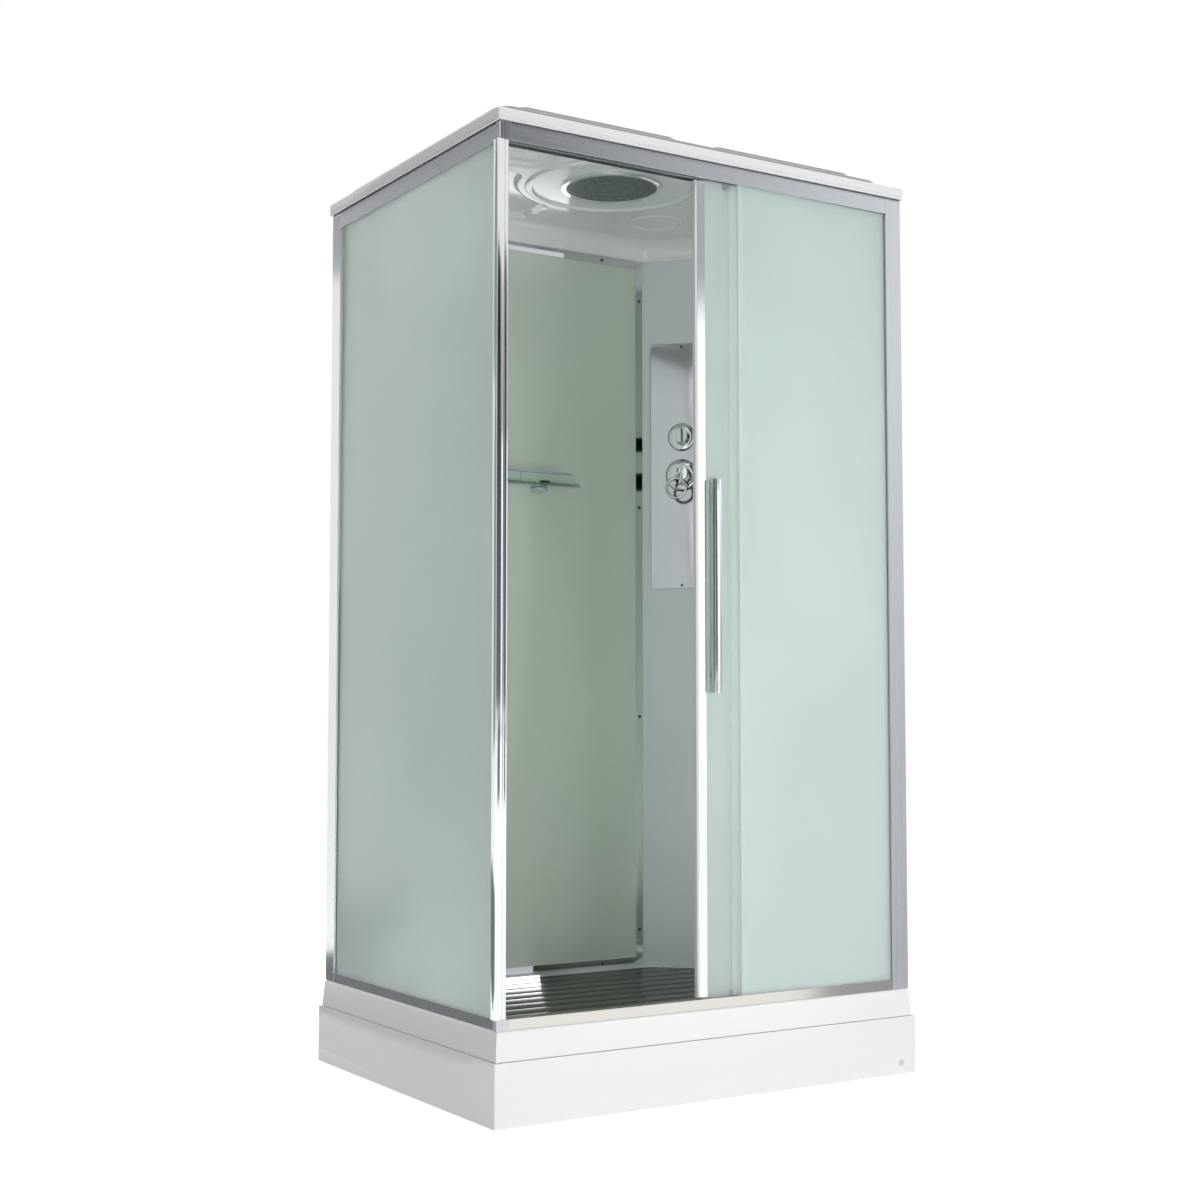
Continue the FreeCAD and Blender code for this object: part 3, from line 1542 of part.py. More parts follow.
def pieces():
    """Name and shape of every node."""
    back_glass, back_rails, back_uprights = back_panel()
    right_glass_pane, right_rails, right_uprights = right_panel()
    mixer_stem_hole = mixer_stem_radius + neck_gap
    diverter_stem_hole = diverter_stem_radius + neck_gap
    found = {
        "support_frame": support_frame(),
        "adjustable_feet": adjustable_feet(),
        "apron": apron(),
        "apron_screws": apron_screws(),
        "shower_tray": shower_tray(),
        "waste_body": waste_body(),
        "waste_cover": waste_cover(),
        "decking_bearers": decking_bearers(),
        "decking_slats": decking_slats(),
        "bottom_rail_front": bottom_rail_front(),
        "bottom_rail_left": bottom_rail_left(),
        "top_rail_front": top_rail_front(),
        "top_rail_left": top_rail_left(),
        "corner_connectors": corner_connectors(),
        "corner_post": corner_post(),
        "corner_magnet_strip": corner_magnet_strip(),
        "rear_left_post": rear_left_post(),
        "front_right_post": front_right_post(),
        "left_glass": left_glass(),
        "front_glass": front_glass(),
        "front_glass_seal": front_glass_seal(),
        "glazing_seals": glazing_seals(),
        "back_wall_glass": back_glass,
        "back_wall_rails": Part.makeCompound(back_rails),
        "back_wall_uprights": Part.makeCompound(back_uprights),
        "right_wall_glass": right_glass_pane,
        "right_wall_rails": Part.makeCompound(right_rails),
        "right_wall_uprights": Part.makeCompound(right_uprights),
        "column_panel": column_panel(),
        "wall_screws": wall_screws(),
        "control_plate": control_plate(),
        "plate_screws": plate_screws(),
        "diverter_valve": diverter_valve(),
        "diverter_rose": rose(diverter_z, diverter_rose_radius, diverter_rose_height, diverter_stem_hole),
        "diverter_knob": diverter_knob(),
        "mixer_valve": mixer_valve(),
        "mixer_rose": rose(mixer_z, mixer_rose_radius, mixer_rose_height, mixer_stem_hole),
        "mixer_knob": mixer_knob(),
        "mixer_lever": mixer_lever(),
        "riser_pipe": riser_pipe(),
        "roof": roof(),
        "rain_head_body": rain_head_body(),
        "rain_head_bezel": rain_head_bezel(),
        "rain_head_face": rain_head_face(),
        "shelf_glass": shelf_glass(),
        "shelf_rail": shelf_rail(),
        "shelf_brackets": shelf_brackets(),
        "door_glass": door_glass(),
        "door_profile": door_profile(),
        "door_magnet_seal": door_magnet_seal(),
        "door_fin_seal": door_fin_seal(),
        "door_handle": door_handle(),
        "door_handle_mounts": door_handle_mounts(),
        "top_roller_brackets": roller_brackets("top"),
        "bottom_roller_brackets": roller_brackets("bottom"),
    }
    for name in wheel_places():
        found[name] = roller(name)
    return found


os.makedirs("parts", exist_ok=True)
for node, solid in pieces().items():
    if not solid.isValid():
        print(node, "is not a valid shape")
    save(node, solid)
print("door travel", round(door_travel, 2))
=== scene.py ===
"""Looks of the corner shower cabin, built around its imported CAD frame.

The CAD nodes give every piece its place. Here they get softened edges and finishes, and the pieces that
the eye meets first are drawn again as finer surfaces. Lengths are in metres, in the frame's own axes:
X to the right, Y to the back wall, Z up."""

import json
import math

import bmesh
import bpy
import numpy as np
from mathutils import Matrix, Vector


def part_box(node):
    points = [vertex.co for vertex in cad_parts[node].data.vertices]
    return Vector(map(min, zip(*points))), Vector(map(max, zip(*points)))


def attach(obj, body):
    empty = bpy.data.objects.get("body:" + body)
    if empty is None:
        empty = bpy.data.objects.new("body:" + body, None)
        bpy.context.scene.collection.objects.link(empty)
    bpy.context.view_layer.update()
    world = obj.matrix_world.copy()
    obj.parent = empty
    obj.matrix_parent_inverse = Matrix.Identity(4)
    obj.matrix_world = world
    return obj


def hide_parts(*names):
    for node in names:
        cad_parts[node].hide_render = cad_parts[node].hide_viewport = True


bl_info = {
    "name": "Shower Cabin Looks",
    "version": (1, 0, 0),
    "blender": (4, 5, 0),
    "location": "View3D > Sidebar > Cabin",
    "description": "Finishes and finer surfaces for the packed corner shower cabin",
    "category": "Object",
}

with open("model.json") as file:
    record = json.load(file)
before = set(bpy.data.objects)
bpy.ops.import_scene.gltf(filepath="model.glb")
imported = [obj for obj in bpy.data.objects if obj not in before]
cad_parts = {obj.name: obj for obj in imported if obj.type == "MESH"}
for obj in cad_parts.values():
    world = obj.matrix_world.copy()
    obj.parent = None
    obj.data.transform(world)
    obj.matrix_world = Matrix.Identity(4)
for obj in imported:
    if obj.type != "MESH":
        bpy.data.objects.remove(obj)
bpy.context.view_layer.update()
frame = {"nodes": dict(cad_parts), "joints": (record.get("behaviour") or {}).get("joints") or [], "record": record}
joints = {joint["name"]: joint for joint in frame["joints"]}
bodies = frame["record"]["behaviour"]["bodies"]
body_of_node = {node: body for body, nodes in bodies.items() for node in nodes}

norm = np.linalg.norm
MM = 0.001
X_WAY = np.array([1.0, 0.0, 0.0])
Y_WAY = np.array([0.0, 1.0, 0.0])
Z_WAY = np.array([0.0, 0.0, 1.0])
HALF_WIDTH = 0.575
HALF_DEPTH = 0.450
COLUMN_INTO = np.array([math.sqrt(0.5), math.sqrt(0.5), 0.0])
COLUMN_SUM = 0.791          # x + y everywhere on the column's face
RIM_WIDTH = 0.062           # from the cabin's outer faces to the inside of the tray's rim
LEDGE_TOP = 0.169           # level of the decking, under the tray's rim
ROOF_WALL = 0.004
ROOF_BACKING_FROM = 2.1515  # above this level, just over its rim, the roof shows its grey back

materials = {}


def linear(colour):
    """Linear colour of an sRGB hex value: each channel follows the sRGB curve, straight below 0.04045."""
    channel = np.array([int(colour[k:k + 2], 16) / 255 for k in (1, 3, 5)])
    value = np.where(channel <= 0.04045, channel / 12.92, ((channel + 0.055) / 1.055) ** 2.4)
    return tuple(float(v) for v in value)


# Settings that a user would change

def size_setting(name, description, default, low, high, digits=4):
    """Length property in metres."""
    return bpy.props.FloatProperty(name=name, description=description, default=default, min=low, max=high,
                                   precision=digits, unit="LENGTH")


class CabinSizes(bpy.types.PropertyGroup):
    """Sizes of the finer surfaces."""
    edge_round: size_setting("Edge round", "Rounding of the metal profiles' edges", 0.0004, 0.0001, 0.002, 5)
    moulding_round: size_setting("Moulding round", "Rounding of the tray's, apron's and roof's outer edges",
                                 0.0025, 0.0005, 0.006)
    glass_arris: size_setting("Glass arris", "Ground bevel along the glass's edges", 0.0007, 0.0002, 0.002, 5)
    board_round: size_setting("Board round", "Rounding of the decking boards' edges", 0.002, 0.0005, 0.005)
    nozzle_radius: size_setting("Nozzle radius", "Radius of a spray nozzle's foot", 0.0022, 0.001, 0.004)


def colour_setting(name, description, colour):
    """Colour property whose default is an sRGB hex value."""
    return bpy.props.FloatVectorProperty(
        name=name, description=description, default=linear(colour), size=3, min=0, max=1, subtype="COLOR")


class CabinColours(bpy.types.PropertyGroup):
    """Colours of the finishes."""
    acrylic: colour_setting("Acrylic", "Tray", "#E6E7E7")
    abs: colour_setting("ABS", "Apron and roof", "#E4E5E5")
    column: colour_setting("Column", "Grey sheet behind the controls", "#CDD3D6")
    frost: colour_setting("Frosted glass", "Milky body of the etched panes", "#D5E1DF")
    wall: colour_setting("Wall glass", "Paint behind the wall panels' glass", "#C0CABD")
    aluminium: colour_setting("Aluminium", "Anodised profiles", "#CBCDD1")
    bright: colour_setting("Bright metal", "Polished profiles and chrome", "#E2E4E6")
    decking: colour_setting("Decking", "Wood composite boards", "#241C14")


# Meshes out of numpy arrays

def grid_faces(rows, columns, wrap_rows):
    """Quads between neighbouring points of a grid that is stored row by row; each row is a ring."""
    r, c = np.meshgrid(np.arange(rows if wrap_rows else rows - 1), np.arange(columns), indexing="ij")
    below = (r + 1) % rows
    beside = (c + 1) % columns
    corners = (r * columns + c, r * columns + beside, below * columns + beside, below * columns + c)
    return np.stack(corners, axis=-1).reshape(-1, 4).tolist()


def skin(points, wrap_rows=False, capped=True):
    """Surface over rings of points, rows by columns by 3, whose first and last rows may be capped."""
    rows, columns = points.shape[:2]
    faces = grid_faces(rows, columns, wrap_rows)
    if capped and not wrap_rows:
        faces.append(list(range(columns))[::-1])
        faces.append(list(range((rows - 1) * columns, rows * columns)))
    return points.reshape(-1, 3), faces


def together(parts):
    """One set of points and faces out of several."""
    offset = 0
    points = []
    faces = []
    for part_points, part_faces in parts:
        points.append(part_points)
        faces += [[index + offset for index in face] for face in part_faces]
        offset += len(part_points)
    return np.concatenate(points), faces


def placed(name, data):
    """New object in the scene."""
    item = bpy.data.objects.new(name, data)
    bpy.context.scene.collection.objects.link(item)
    return item


def reworked(mesh, *steps):
    """Merges the mesh's doubled points and runs each step on it."""
    work = bmesh.new()
    work.from_mesh(mesh)
    bmesh.ops.remove_doubles(work, verts=work.verts, dist=1e-6)
    for step in steps:
        step(work)
    work.to_mesh(mesh)
    work.free()


def make_piece(name, surface, material, nodes, crease=40.0):
    """Mesh object from points and faces, in the place of the CAD nodes that it stands for."""
    points, faces = surface
    mesh = bpy.data.meshes.new(name)
    mesh.from_pydata(points.tolist(), [], faces)
    reworked(mesh, lambda work: bmesh.ops.recalc_face_normals(work, faces=work.faces))
    finish_piece(name, mesh, material, nodes, crease)


def finish_piece(name, mesh, material, nodes, crease):
    """Smooth shading up to the crease angle, material, body, slot and the nodes stood for."""
    mesh.shade_smooth()
    mesh.set_sharp_from_angle(angle=math.radians(crease))
    mesh.materials.clear()
    mesh.materials.append(materials[material])
    piece = placed(name, mesh)
    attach(piece, body_of_node[nodes[0]])
    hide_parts(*nodes)
    return piece


def join_rim(work):
    """Makes one skin of the tray's base and its rim, which lie face to face at the ledge's level, and end to
    end at the front corner: both are cut along those two planes, and the faces in them under the rim go."""
    inner_x, inner_y, level = RIM_WIDTH - HALF_WIDTH, RIM_WIDTH - HALF_DEPTH, LEDGE_TOP
    for place, way in (((0, 0, level), Z_WAY), ((0, inner_y, 0), Y_WAY)):
        whole = work.verts[:] + work.edges[:] + work.faces[:]
        bmesh.ops.bisect_plane(work, geom=whole, dist=1e-7, plane_co=place, plane_no=way)
    bmesh.ops.remove_doubles(work, verts=work.verts, dist=2e-6)
    near = 1e-5
    hidden = []
    for face in work.faces:
        centre = face.calc_center_median()
        in_level = all(abs(vert.co.z - level) < near for vert in face.verts)
        in_end = all(abs(vert.co.y - inner_y) < near for vert in face.verts)
        under_rim = centre.x < inner_x - near or centre.y < inner_y - near
        if in_level and under_rim or in_end and centre.x < inner_x - near and centre.z > level:
            hidden.append(face)
    bmesh.ops.delete(work, geom=hidden, context="FACES")


def softened(node, material, width, segments=2, prepare=()):
    """Copy of a CAD node with its triangles merged into whole faces and its edges rounded by a bevel."""
    crease = 30.0
    flat = math.radians(0.5)
    mesh = frame["nodes"][node].data.copy()
    reworked(mesh, *prepare, lambda work: bmesh.ops.dissolve_limit(work, angle_limit=flat, verts=work.verts,
                                                                   edges=work.edges))
    piece = finish_piece(node + "_finished", mesh, material, [node], crease)
    bevel = piece.modifiers.new("edge round", "BEVEL")
    bevel.width = width
    bevel.segments = segments
    bevel.limit_method = "ANGLE"
    bevel.angle_limit = math.radians(crease)
    bevel.use_clamp_overlap = True
    bevel.harden_normals = True


def outline(corners, radii, steps=6):
    """Closed outline with rounded corners, as places and outward normals in a plane.

    Each corner's arc keeps its radius from a centre on the corner's bisector, while its normal turns evenly
    from side to side. Corners run anticlockwise; a hollow corner's arc bends the other way."""
    corners = np.asarray(corners, float)
    places = []
    normals = []
    for k, corner in enumerate(corners):
        before = corner - corners[k - 1]
        after = corners[(k + 1) % len(corners)] - corner
        first = np.array([before[1], -before[0]]) / norm(before)
        last = np.array([after[1], -after[0]]) / norm(after)
        hollow = before[0] * after[1] - before[1] * after[0] < 0
        radius = radii[k] if np.ndim(radii) else radii
        turn = math.atan2(first[0] * last[1] - first[1] * last[0], first @ last)
        angle = np.linspace(0, turn, steps + 1)[:, None]
        way = first * np.cos(angle) + np.array([-first[1], first[0]]) * np.sin(angle)
        reach = radius * (first + last) / (1 + first @ last)
        places.append(corner + reach - radius * way if hollow else corner - reach + radius * way)
        normals.append(way)
    return np.concatenate(places), np.concatenate(normals)


def block_outline(x0, x1, y0, y1, radius, steps=6):
    """Rectangle with four rounded corners."""
    return outline([(x0, y0), (x1, y0), (x1, y1), (x0, y1)], radius, steps)


def inset_ring(shape, inset, z):
    """An outline moved inwards along its normals and set at a height."""
    return np.column_stack([shape[0] - inset * shape[1], np.full(len(shape[0]), z)])


def loft(shape, layers, axes=(X_WAY, Y_WAY, Z_WAY)):
    """Closed solid through copies of an outline: each layer moves the outline inwards along its normals and
    sets its height. The outline lies in the first two axes, and the layers climb the third."""
    rings = np.stack([inset_ring(shape, inset, z) for inset, z in layers])
    return skin(rings @ np.array(axes))


def evenly(shape, count):
    """The same closed outline with its points spread evenly along it."""
    places, normals = (np.concatenate([values, values[:1]]) for values in shape)
    walked = np.concatenate([[0], np.cumsum(norm(np.diff(places, axis=0), axis=1))])
    at = np.arange(count) * walked[-1] / count
    places, normals = (np.column_stack([np.interp(at, walked, values[:, k]) for k in (0, 1)])
                       for values in (places, normals))
    return places, normals / norm(normals, axis=1)[:, None]


def smooth_step(value, low, high):
    """0 below low, 1 above high, and between them 3t^2 - 2t^3, which leaves and arrives level."""
    t = np.clip((value - low) / (high - low), 0, 1)
    return t * t * (3 - 2 * t)


def smooth_max(one, other, width):
    """Greater of two distances, blended by a parabola where they differ by less than a width."""
    blend = np.maximum(width - np.abs(one - other), 0) / width
    return np.maximum(one, other) + blend ** 2 * width / 4


def rounded_layers(low, high, radius, steps=4):
    """Layers of a slab whose edges are quarter rounds: inset and height follow the sine and cosine."""
    angle = np.linspace(0, math.pi / 2, steps + 1)
    up = [(radius * (1 - math.sin(a)), low + radius * (1 - math.cos(a))) for a in angle]
    down = [(inset, high - (z - low)) for inset, z in up[::-1]]
    return up + down


def lathe(profile, centre, axis, count=64):
    """Turned solid: a profile of radii and heights goes once round the axis and closes at radius 0."""
    axis = np.asarray(axis, float) / norm(axis)
    side = np.cross(axis, Z_WAY if abs(axis[2]) < 0.9 else X_WAY)
    side /= norm(side)
    other = np.cross(axis, side)
    radius, height = np.asarray(profile, float).T
    angle = np.arange(count) * 2 * math.pi / count
    ring = np.cos(angle)[:, None] * side + np.sin(angle)[:, None] * other
    points = radius[:, None, None] * ring + height[:, None, None] * axis + np.asarray(centre, float)
    return skin(points, capped=bool(radius[0] > 0 or radius[-1] > 0))


def rounded_profile(points, radius, steps=5):
    """Profile with rounded corners: each becomes a quadratic arc between its two sides."""
    points = np.asarray(points, float)
    made = [points[:1]]
    for before, corner, after in zip(points, points[1:], points[2:]):
        start, end = (corner + (side - corner) * min(radius / norm(side - corner), 0.5)
                      for side in (before, after))
        t = np.linspace(0, 1, steps + 1)[:, None]
        made.append((1 - t) ** 2 * start + 2 * t * (1 - t) * corner + t ** 2 * end)
    made.append(points[-1:])
    return np.concatenate(made)


def tube(path, radius, count=16, closed=False):
    """Round bar along a path: a circle at each point, in the plane of two ways square to the path. The first
    is the cross product of the path's way and a fixed guide, and the second is that of the path's way and
    the first."""
    path = np.asarray(path, float)
    if closed:
        ahead = np.roll(path, -1, axis=0) - np.roll(path, 1, axis=0)
    else:
        ahead = np.gradient(path, axis=0)
    ahead /= norm(ahead, axis=1)[:, None]
    steep = np.abs(ahead @ Z_WAY).max() >= 0.98
    guide = np.cross(ahead[0], ahead[-1] + [0.01, 0.02, 0.03]) if steep else Z_WAY
    side = np.cross(ahead, guide)
    side /= norm(side, axis=1)[:, None]
    other = np.cross(ahead, side)
    angle = (np.arange(count) * 2 * math.pi / count)[:, None]
    ring = np.cos(angle) * side[:, None] + np.sin(angle) * other[:, None]
    return skin(path[:, None] + radius * ring, wrap_rows=closed)


# Materials

def add(tree, kind, inputs=None, stops=(), **settings):
    """Adds a shader node with its settings. Each input is a value, or a socket that is linked to it, and the
    stops are the places and colours of a ramp."""
    node = tree.nodes.new("ShaderNode" + kind)
    for name, value in settings.items():
        setattr(node, name, value)
    for name, value in (inputs or {}).items():
        if isinstance(value, bpy.types.NodeSocket):
            tree.links.new(value, node.inputs[name])
        else:
            node.inputs[name].default_value = value
    for k, (place, colour) in enumerate(stops):
        node.color_ramp.elements[k].position = place
        node.color_ramp.elements[k].color = (*colour, 1)
    return node


def finish(name, colour, roughness, metallic=0.0, **sockets):
    """Material with one Principled shader, and its tree, shader and object coordinates."""
    material = bpy.data.materials.new(name)
    material.use_nodes = True
    tree = material.node_tree
    shader = tree.nodes["Principled BSDF"]
    shader.inputs["Base Color"].default_value = (*colour, 1)
    shader.inputs["Roughness"].default_value = roughness
    shader.inputs["Metallic"].default_value = metallic
    for socket, value in sockets.items():
        shader.inputs[socket.replace("_", " ")].default_value = value
    where = add(tree, "TexCoord").outputs["Object"]
    return material, tree, shader, where


def per_metre(grain):
    """Scale of a pattern from its grain in metres: one for all ways, or one each along X, Y and Z."""
    return tuple(1 / g for g in (grain if np.ndim(grain) else (grain,) * 3))


def textured(name, colour, roughness, grain, detail=2.0, bump=None, spread=None, **more):
    """Finish with a noise. It may raise a relief, given as its depth in metres and its strength, and may let
    the roughness wander between two values, as handling and polish leave it. Returns what finish does, and
    the noise."""
    material, tree, shader, where = finish(name, colour, roughness, **more)
    along = add(tree, "Mapping", {"Vector": where, "Scale": per_metre(grain)}).outputs["Vector"]
    texture = add(tree, "TexNoise", {"Vector": along, "Scale": 1.0, "Detail": detail}).outputs["Fac"]
    if bump:
        relief = add(tree, "Bump", {"Height": texture, "Distance": bump[0], "Strength": bump[1]})
        tree.links.new(relief.outputs["Normal"], shader.inputs["Normal"])
    if spread:
        wander = add(tree, "MapRange", {"Value": texture, "From Min": 0.3, "From Max": 0.7,
                                        "To Min": spread[0], "To Max": spread[1]})
        tree.links.new(wander.outputs["Result"], shader.inputs["Roughness"])
    return material, tree, shader, where, texture


def shade(colour, factor):
    """The same colour, darker or lighter."""
    return tuple(min(1.0, c * factor) for c in colour)


def sanitary_acrylic(colour):
    """Cast acrylic sheet, vacuum formed: a wet gloss over long, very shallow waves left by the forming."""
    return textured("sanitary_acrylic", colour, 0.16, 0.14, 1.0, (0.0004, 0.5), IOR=1.49)[0]


def gloss_abs(name, colour, backing=None, above=0.0):
    """Vacuum-formed ABS: glossy, with a faint orange peel. On a roof the upward faces above a level are the
    grey glass-fibre backing."""
    material, tree, shader, where, _ = textured(
        name, colour, 0.12, 0.05, bump=(0.0002, 0.35), spread=(0.09, 0.15), IOR=1.53)
    if backing:
        height = add(tree, "SeparateXYZ", {"Vector": where}).outputs["Z"]
        over = add(tree, "Math", {0: height, 1: above}, operation="GREATER_THAN").outputs["Value"]
        facing = add(tree, "NewGeometry").outputs["Normal"]
        upward = add(tree, "SeparateXYZ", {"Vector": facing}).outputs["Z"]
        outer = add(tree, "Math", {0: upward, 1: 0.02}, operation="GREATER_THAN").outputs["Value"]
        both = add(tree, "Math", {0: over, 1: outer}, operation="MULTIPLY").outputs["Value"]
        mix = add(tree, "Mix", {"Factor": both}, data_type="RGBA")
        mix.inputs["A"].default_value = (*colour, 1)
        mix.inputs["B"].default_value = (*backing, 1)
        tree.links.new(mix.outputs["Result"], shader.inputs["Base Color"])
    return material


def satin_sheet(colour):
    """Extruded ABS sheet with a satin face: a soft sheen and a fine grain."""
    return textured("satin_sheet", colour, 0.36, 0.0025, bump=(0.00004, 0.5), spread=(0.32, 0.4), IOR=1.53)[0]


def drawn_metal(name, colour, roughness, along, depth):
    """Extruded aluminium: fine die lines run along the profile, 1 mm apart here so that they show."""
    grain = tuple(1.2 if axis == along else 0.001 for axis in "XYZ")
    spread = (roughness * 0.85, roughness * 1.2)
    return textured(name, colour, roughness, grain, 3.0, (depth, 0.4), spread, metallic=1.0)[0]


def anodised_aluminium(colour, along):
    """Etched and anodised extrusion: a silvery satin that blurs what it mirrors."""
    return drawn_metal("anodised_aluminium_along_" + along.lower(), colour, 0.28, along, 0.00003)


def polished_aluminium(colour, along):
    """Polished and clear-anodised extrusion: nearly a mirror, with faint lines along it."""
    return drawn_metal("polished_aluminium_along_" + along.lower(), colour, 0.1, along, 0.00001)


def knob_chrome_painted_shade(colour, outward):
    """Chrome on knobs with painted shade: the base colour stays bright on the faces that look out, and falls off
    to black on the sides as their slope from the outward way grows, in place of the unlit gap behind the door."""
    material, tree, shader, *_ = textured(
        "knob_chrome_painted_shade", colour, 0.04, 0.02, spread=(0.03, 0.06), metallic=1.0)
    facing = add(tree, "NewGeometry").outputs["Normal"]
    slope = add(tree, "VectorMath", {0: facing, 1: tuple(outward)}, operation="DOT_PRODUCT").outputs["Value"]
    # painted shade: near black on the sides, bright chrome on the faces that look out
    tint = add(tree, "ValToRGB", {"Fac": slope}, [(0.15, linear("#15171A")), (0.92, colour)])
    tree.links.new(tint.outputs["Color"], shader.inputs["Base Color"])
    return material


def chrome_plating(colour):
    """Bright chrome over brass: a clean mirror with a trace of polishing haze."""
    return textured("chrome_plating", colour, 0.05, 0.02, spread=(0.03, 0.07), metallic=1.0)[0]


def polished_plate(colour):
    """Mirror-polished stainless sheet: cool, with a faint ripple of the rolled sheet."""
    return textured("polished_plate", colour, 0.1, (0.15, 0.15, 0.25), 1.0, (0.0003, 0.4), (0.07, 0.13),
                    metallic=1.0)[0]


def stainless_steel(name, colour):
    """Pressed stainless steel with a soft brushed grain."""
    return textured(name, colour, 0.28, (0.0006, 0.0006, 0.02), bump=(0.00002, 0.5), metallic=1.0)[0]


def let_light_through(tree, shader, colour):
    """Lamps reach what is behind the glass: a shadow ray passes, tinted, and other rays meet the shader."""
    path = add(tree, "LightPath")
    clear = add(tree, "BsdfTransparent", {"Color": (*colour, 1)})
    mix = add(tree, "MixShader", {0: path.outputs["Is Shadow Ray"], 1: shader.outputs["BSDF"],
                                  2: clear.outputs["BSDF"]})
    tree.links.new(mix.outputs["Shader"], tree.nodes["Material Output"].inputs["Surface"])


def etched_glass(colour):
    """Acid-etched float glass: its frosted side scatters light, so shapes behind it melt within a few cm."""
    material, tree, shader, where, _ = textured(
        "etched_glass", colour, 0.45, 0.0015, 1.0, (0.00005, 0.3), IOR=1.5, Transmission_Weight=0.68,
        Coat_Weight=0.45, Coat_Roughness=0.2, Coat_IOR=1.5)
    wide = add(tree, "Mapping", {"Vector": where, "Scale": per_metre((0.3, 0.3, 0.5))}).outputs["Vector"]
    cloud = add(tree, "TexNoise", {"Vector": wide, "Scale": 1.0, "Detail": 2.0}).outputs["Fac"]
    tint = add(tree, "ValToRGB", {"Fac": cloud}, [(0.3, shade(colour, 0.97)), (0.7, shade(colour, 1.02))])
    tree.links.new(tint.outputs["Color"], shader.inputs["Base Color"])
    let_light_through(tree, shader, linear("#F3F2F1"))
    return material


def back_painted_glass(colour):
    """Float glass painted on its back: the flat sage paint shows under a sharp, green-tinged reflection."""
    material, tree, shader, _, cloud = textured(
        "back_painted_glass", colour, 0.3, (0.4, 0.4, 0.6), IOR=1.5, Coat_Weight=1.0, Coat_Roughness=0.02,
        Coat_IOR=1.52)
    tint = add(tree, "ValToRGB", {"Fac": cloud}, [(0.3, shade(colour, 0.96)), (0.7, shade(colour, 1.03))])
    tree.links.new(tint.outputs["Color"], shader.inputs["Base Color"])
    return material


def float_glass(colour):
    """Clear float glass with polished edges: see-through from above, green along its edges."""
    material, tree, shader, *_ = textured(
        "float_glass", colour, 0.02, 0.08, 1.0, (0.00005, 0.3), IOR=1.52, Transmission_Weight=1.0)
    let_light_through(tree, shader, shade(colour, 0.98))
    return material


def clear_vinyl(colour):
    """Soft clear PVC: glossy and slightly milky."""
    material, tree, shader, *_ = textured(
        "clear_vinyl", colour, 0.3, (0.004, 0.004, 0.03), bump=(0.0001, 0.3), IOR=1.1,
        Transmission_Weight=0.5, Alpha=0.25)
    let_light_through(tree, shader, shade(colour, 0.95))
    return material


def composite_board(colour):
    """Brushed wood-plastic board: dark brown with fine streaks along it and a wet sheen."""
    material, tree, shader, where, streak = textured(
        "composite_board", colour, 0.3, (0.25, 0.0022, 0.01), 4.0, (0.0002, 0.35), (0.18, 0.34), IOR=1.45,
        Coat_Weight=0.2, Coat_Roughness=0.06, Specular_IOR_Level=0.2)
    wide = add(tree, "Mapping", {"Vector": where, "Scale": per_metre((0.5, 0.067, 0.1))}).outputs["Vector"]
    blotch = add(tree, "TexNoise", {"Vector": wide, "Scale": 1.0, "Detail": 1.0}).outputs["Fac"]
    mixed = add(tree, "Math", {0: streak, 1: blotch, 2: 0.15}, operation="MULTIPLY_ADD").outputs["Value"]
    tint = add(tree, "ValToRGB", {"Fac": mixed}, [(0.2, shade(colour, 0.55)), (0.65, shade(colour, 1.5))])
    tree.links.new(tint.outputs["Color"], shader.inputs["Base Color"])
    return material


def soft_rubber(name, colour, roughness, right=None):
    """Moulded rubber or soft PVC: dull, with a faint skin texture. Glazing seals carry painted shade at the
    right: their colour turns dark past x 0.35 m, for the shadow in the gap by the right post.
    """
    material, tree, shader, where, _ = textured(name, colour, roughness, 0.001, bump=(0.00005, 0.4), IOR=1.52)
    if right:
        # painted shade: the seal's colour turns dark between x 0.3 and 0.4 m
        across = add(tree, "SeparateXYZ", {"Vector": where}).outputs["X"]
        tint = add(tree, "ValToRGB", {"Fac": across}, [(0.3, colour), (0.4, right)])
        tree.links.new(tint.outputs["Color"], shader.inputs["Base Color"])
    return material


def moulded_plastic(name, colour, roughness):
    """Injection-moulded plastic with a fine spark-eroded grain."""
    spread = (roughness * 0.9, roughness * 1.15)
    return textured(name, colour, roughness, 0.0012, bump=(0.00004, 0.6), spread=spread, IOR=1.5)[0]


def galvanised_steel(colour):
    """Hot-dip galvanised tube: dull zinc in spangles about 12 mm across."""
    material, tree, shader, where = finish("galvanised_steel", colour, 0.45, 1.0)
    spangle = add(tree, "TexVoronoi", {"Vector": where, "Scale": 1 / 0.012}).outputs["Distance"]
    tint = add(tree, "ValToRGB", {"Fac": spangle}, [(0.0, shade(colour, 0.8)), (0.8, shade(colour, 1.1))])
    tree.links.new(tint.outputs["Color"], shader.inputs["Base Color"])
    wander = add(tree, "MapRange", {"Value": spangle, "From Min": 0.3, "From Max": 0.7, "To Min": 0.35,
                                    "To Max": 0.5})
    tree.links.new(wander.outputs["Result"], shader.inputs["Roughness"])
    return material


def cast_brass(colour):
    """Sand-cast brass, tumbled: warm, dull and lightly pitted."""
    return textured("cast_brass", colour, 0.4, 0.0015, 3.0, (0.0001, 0.6), metallic=1.0)[0]


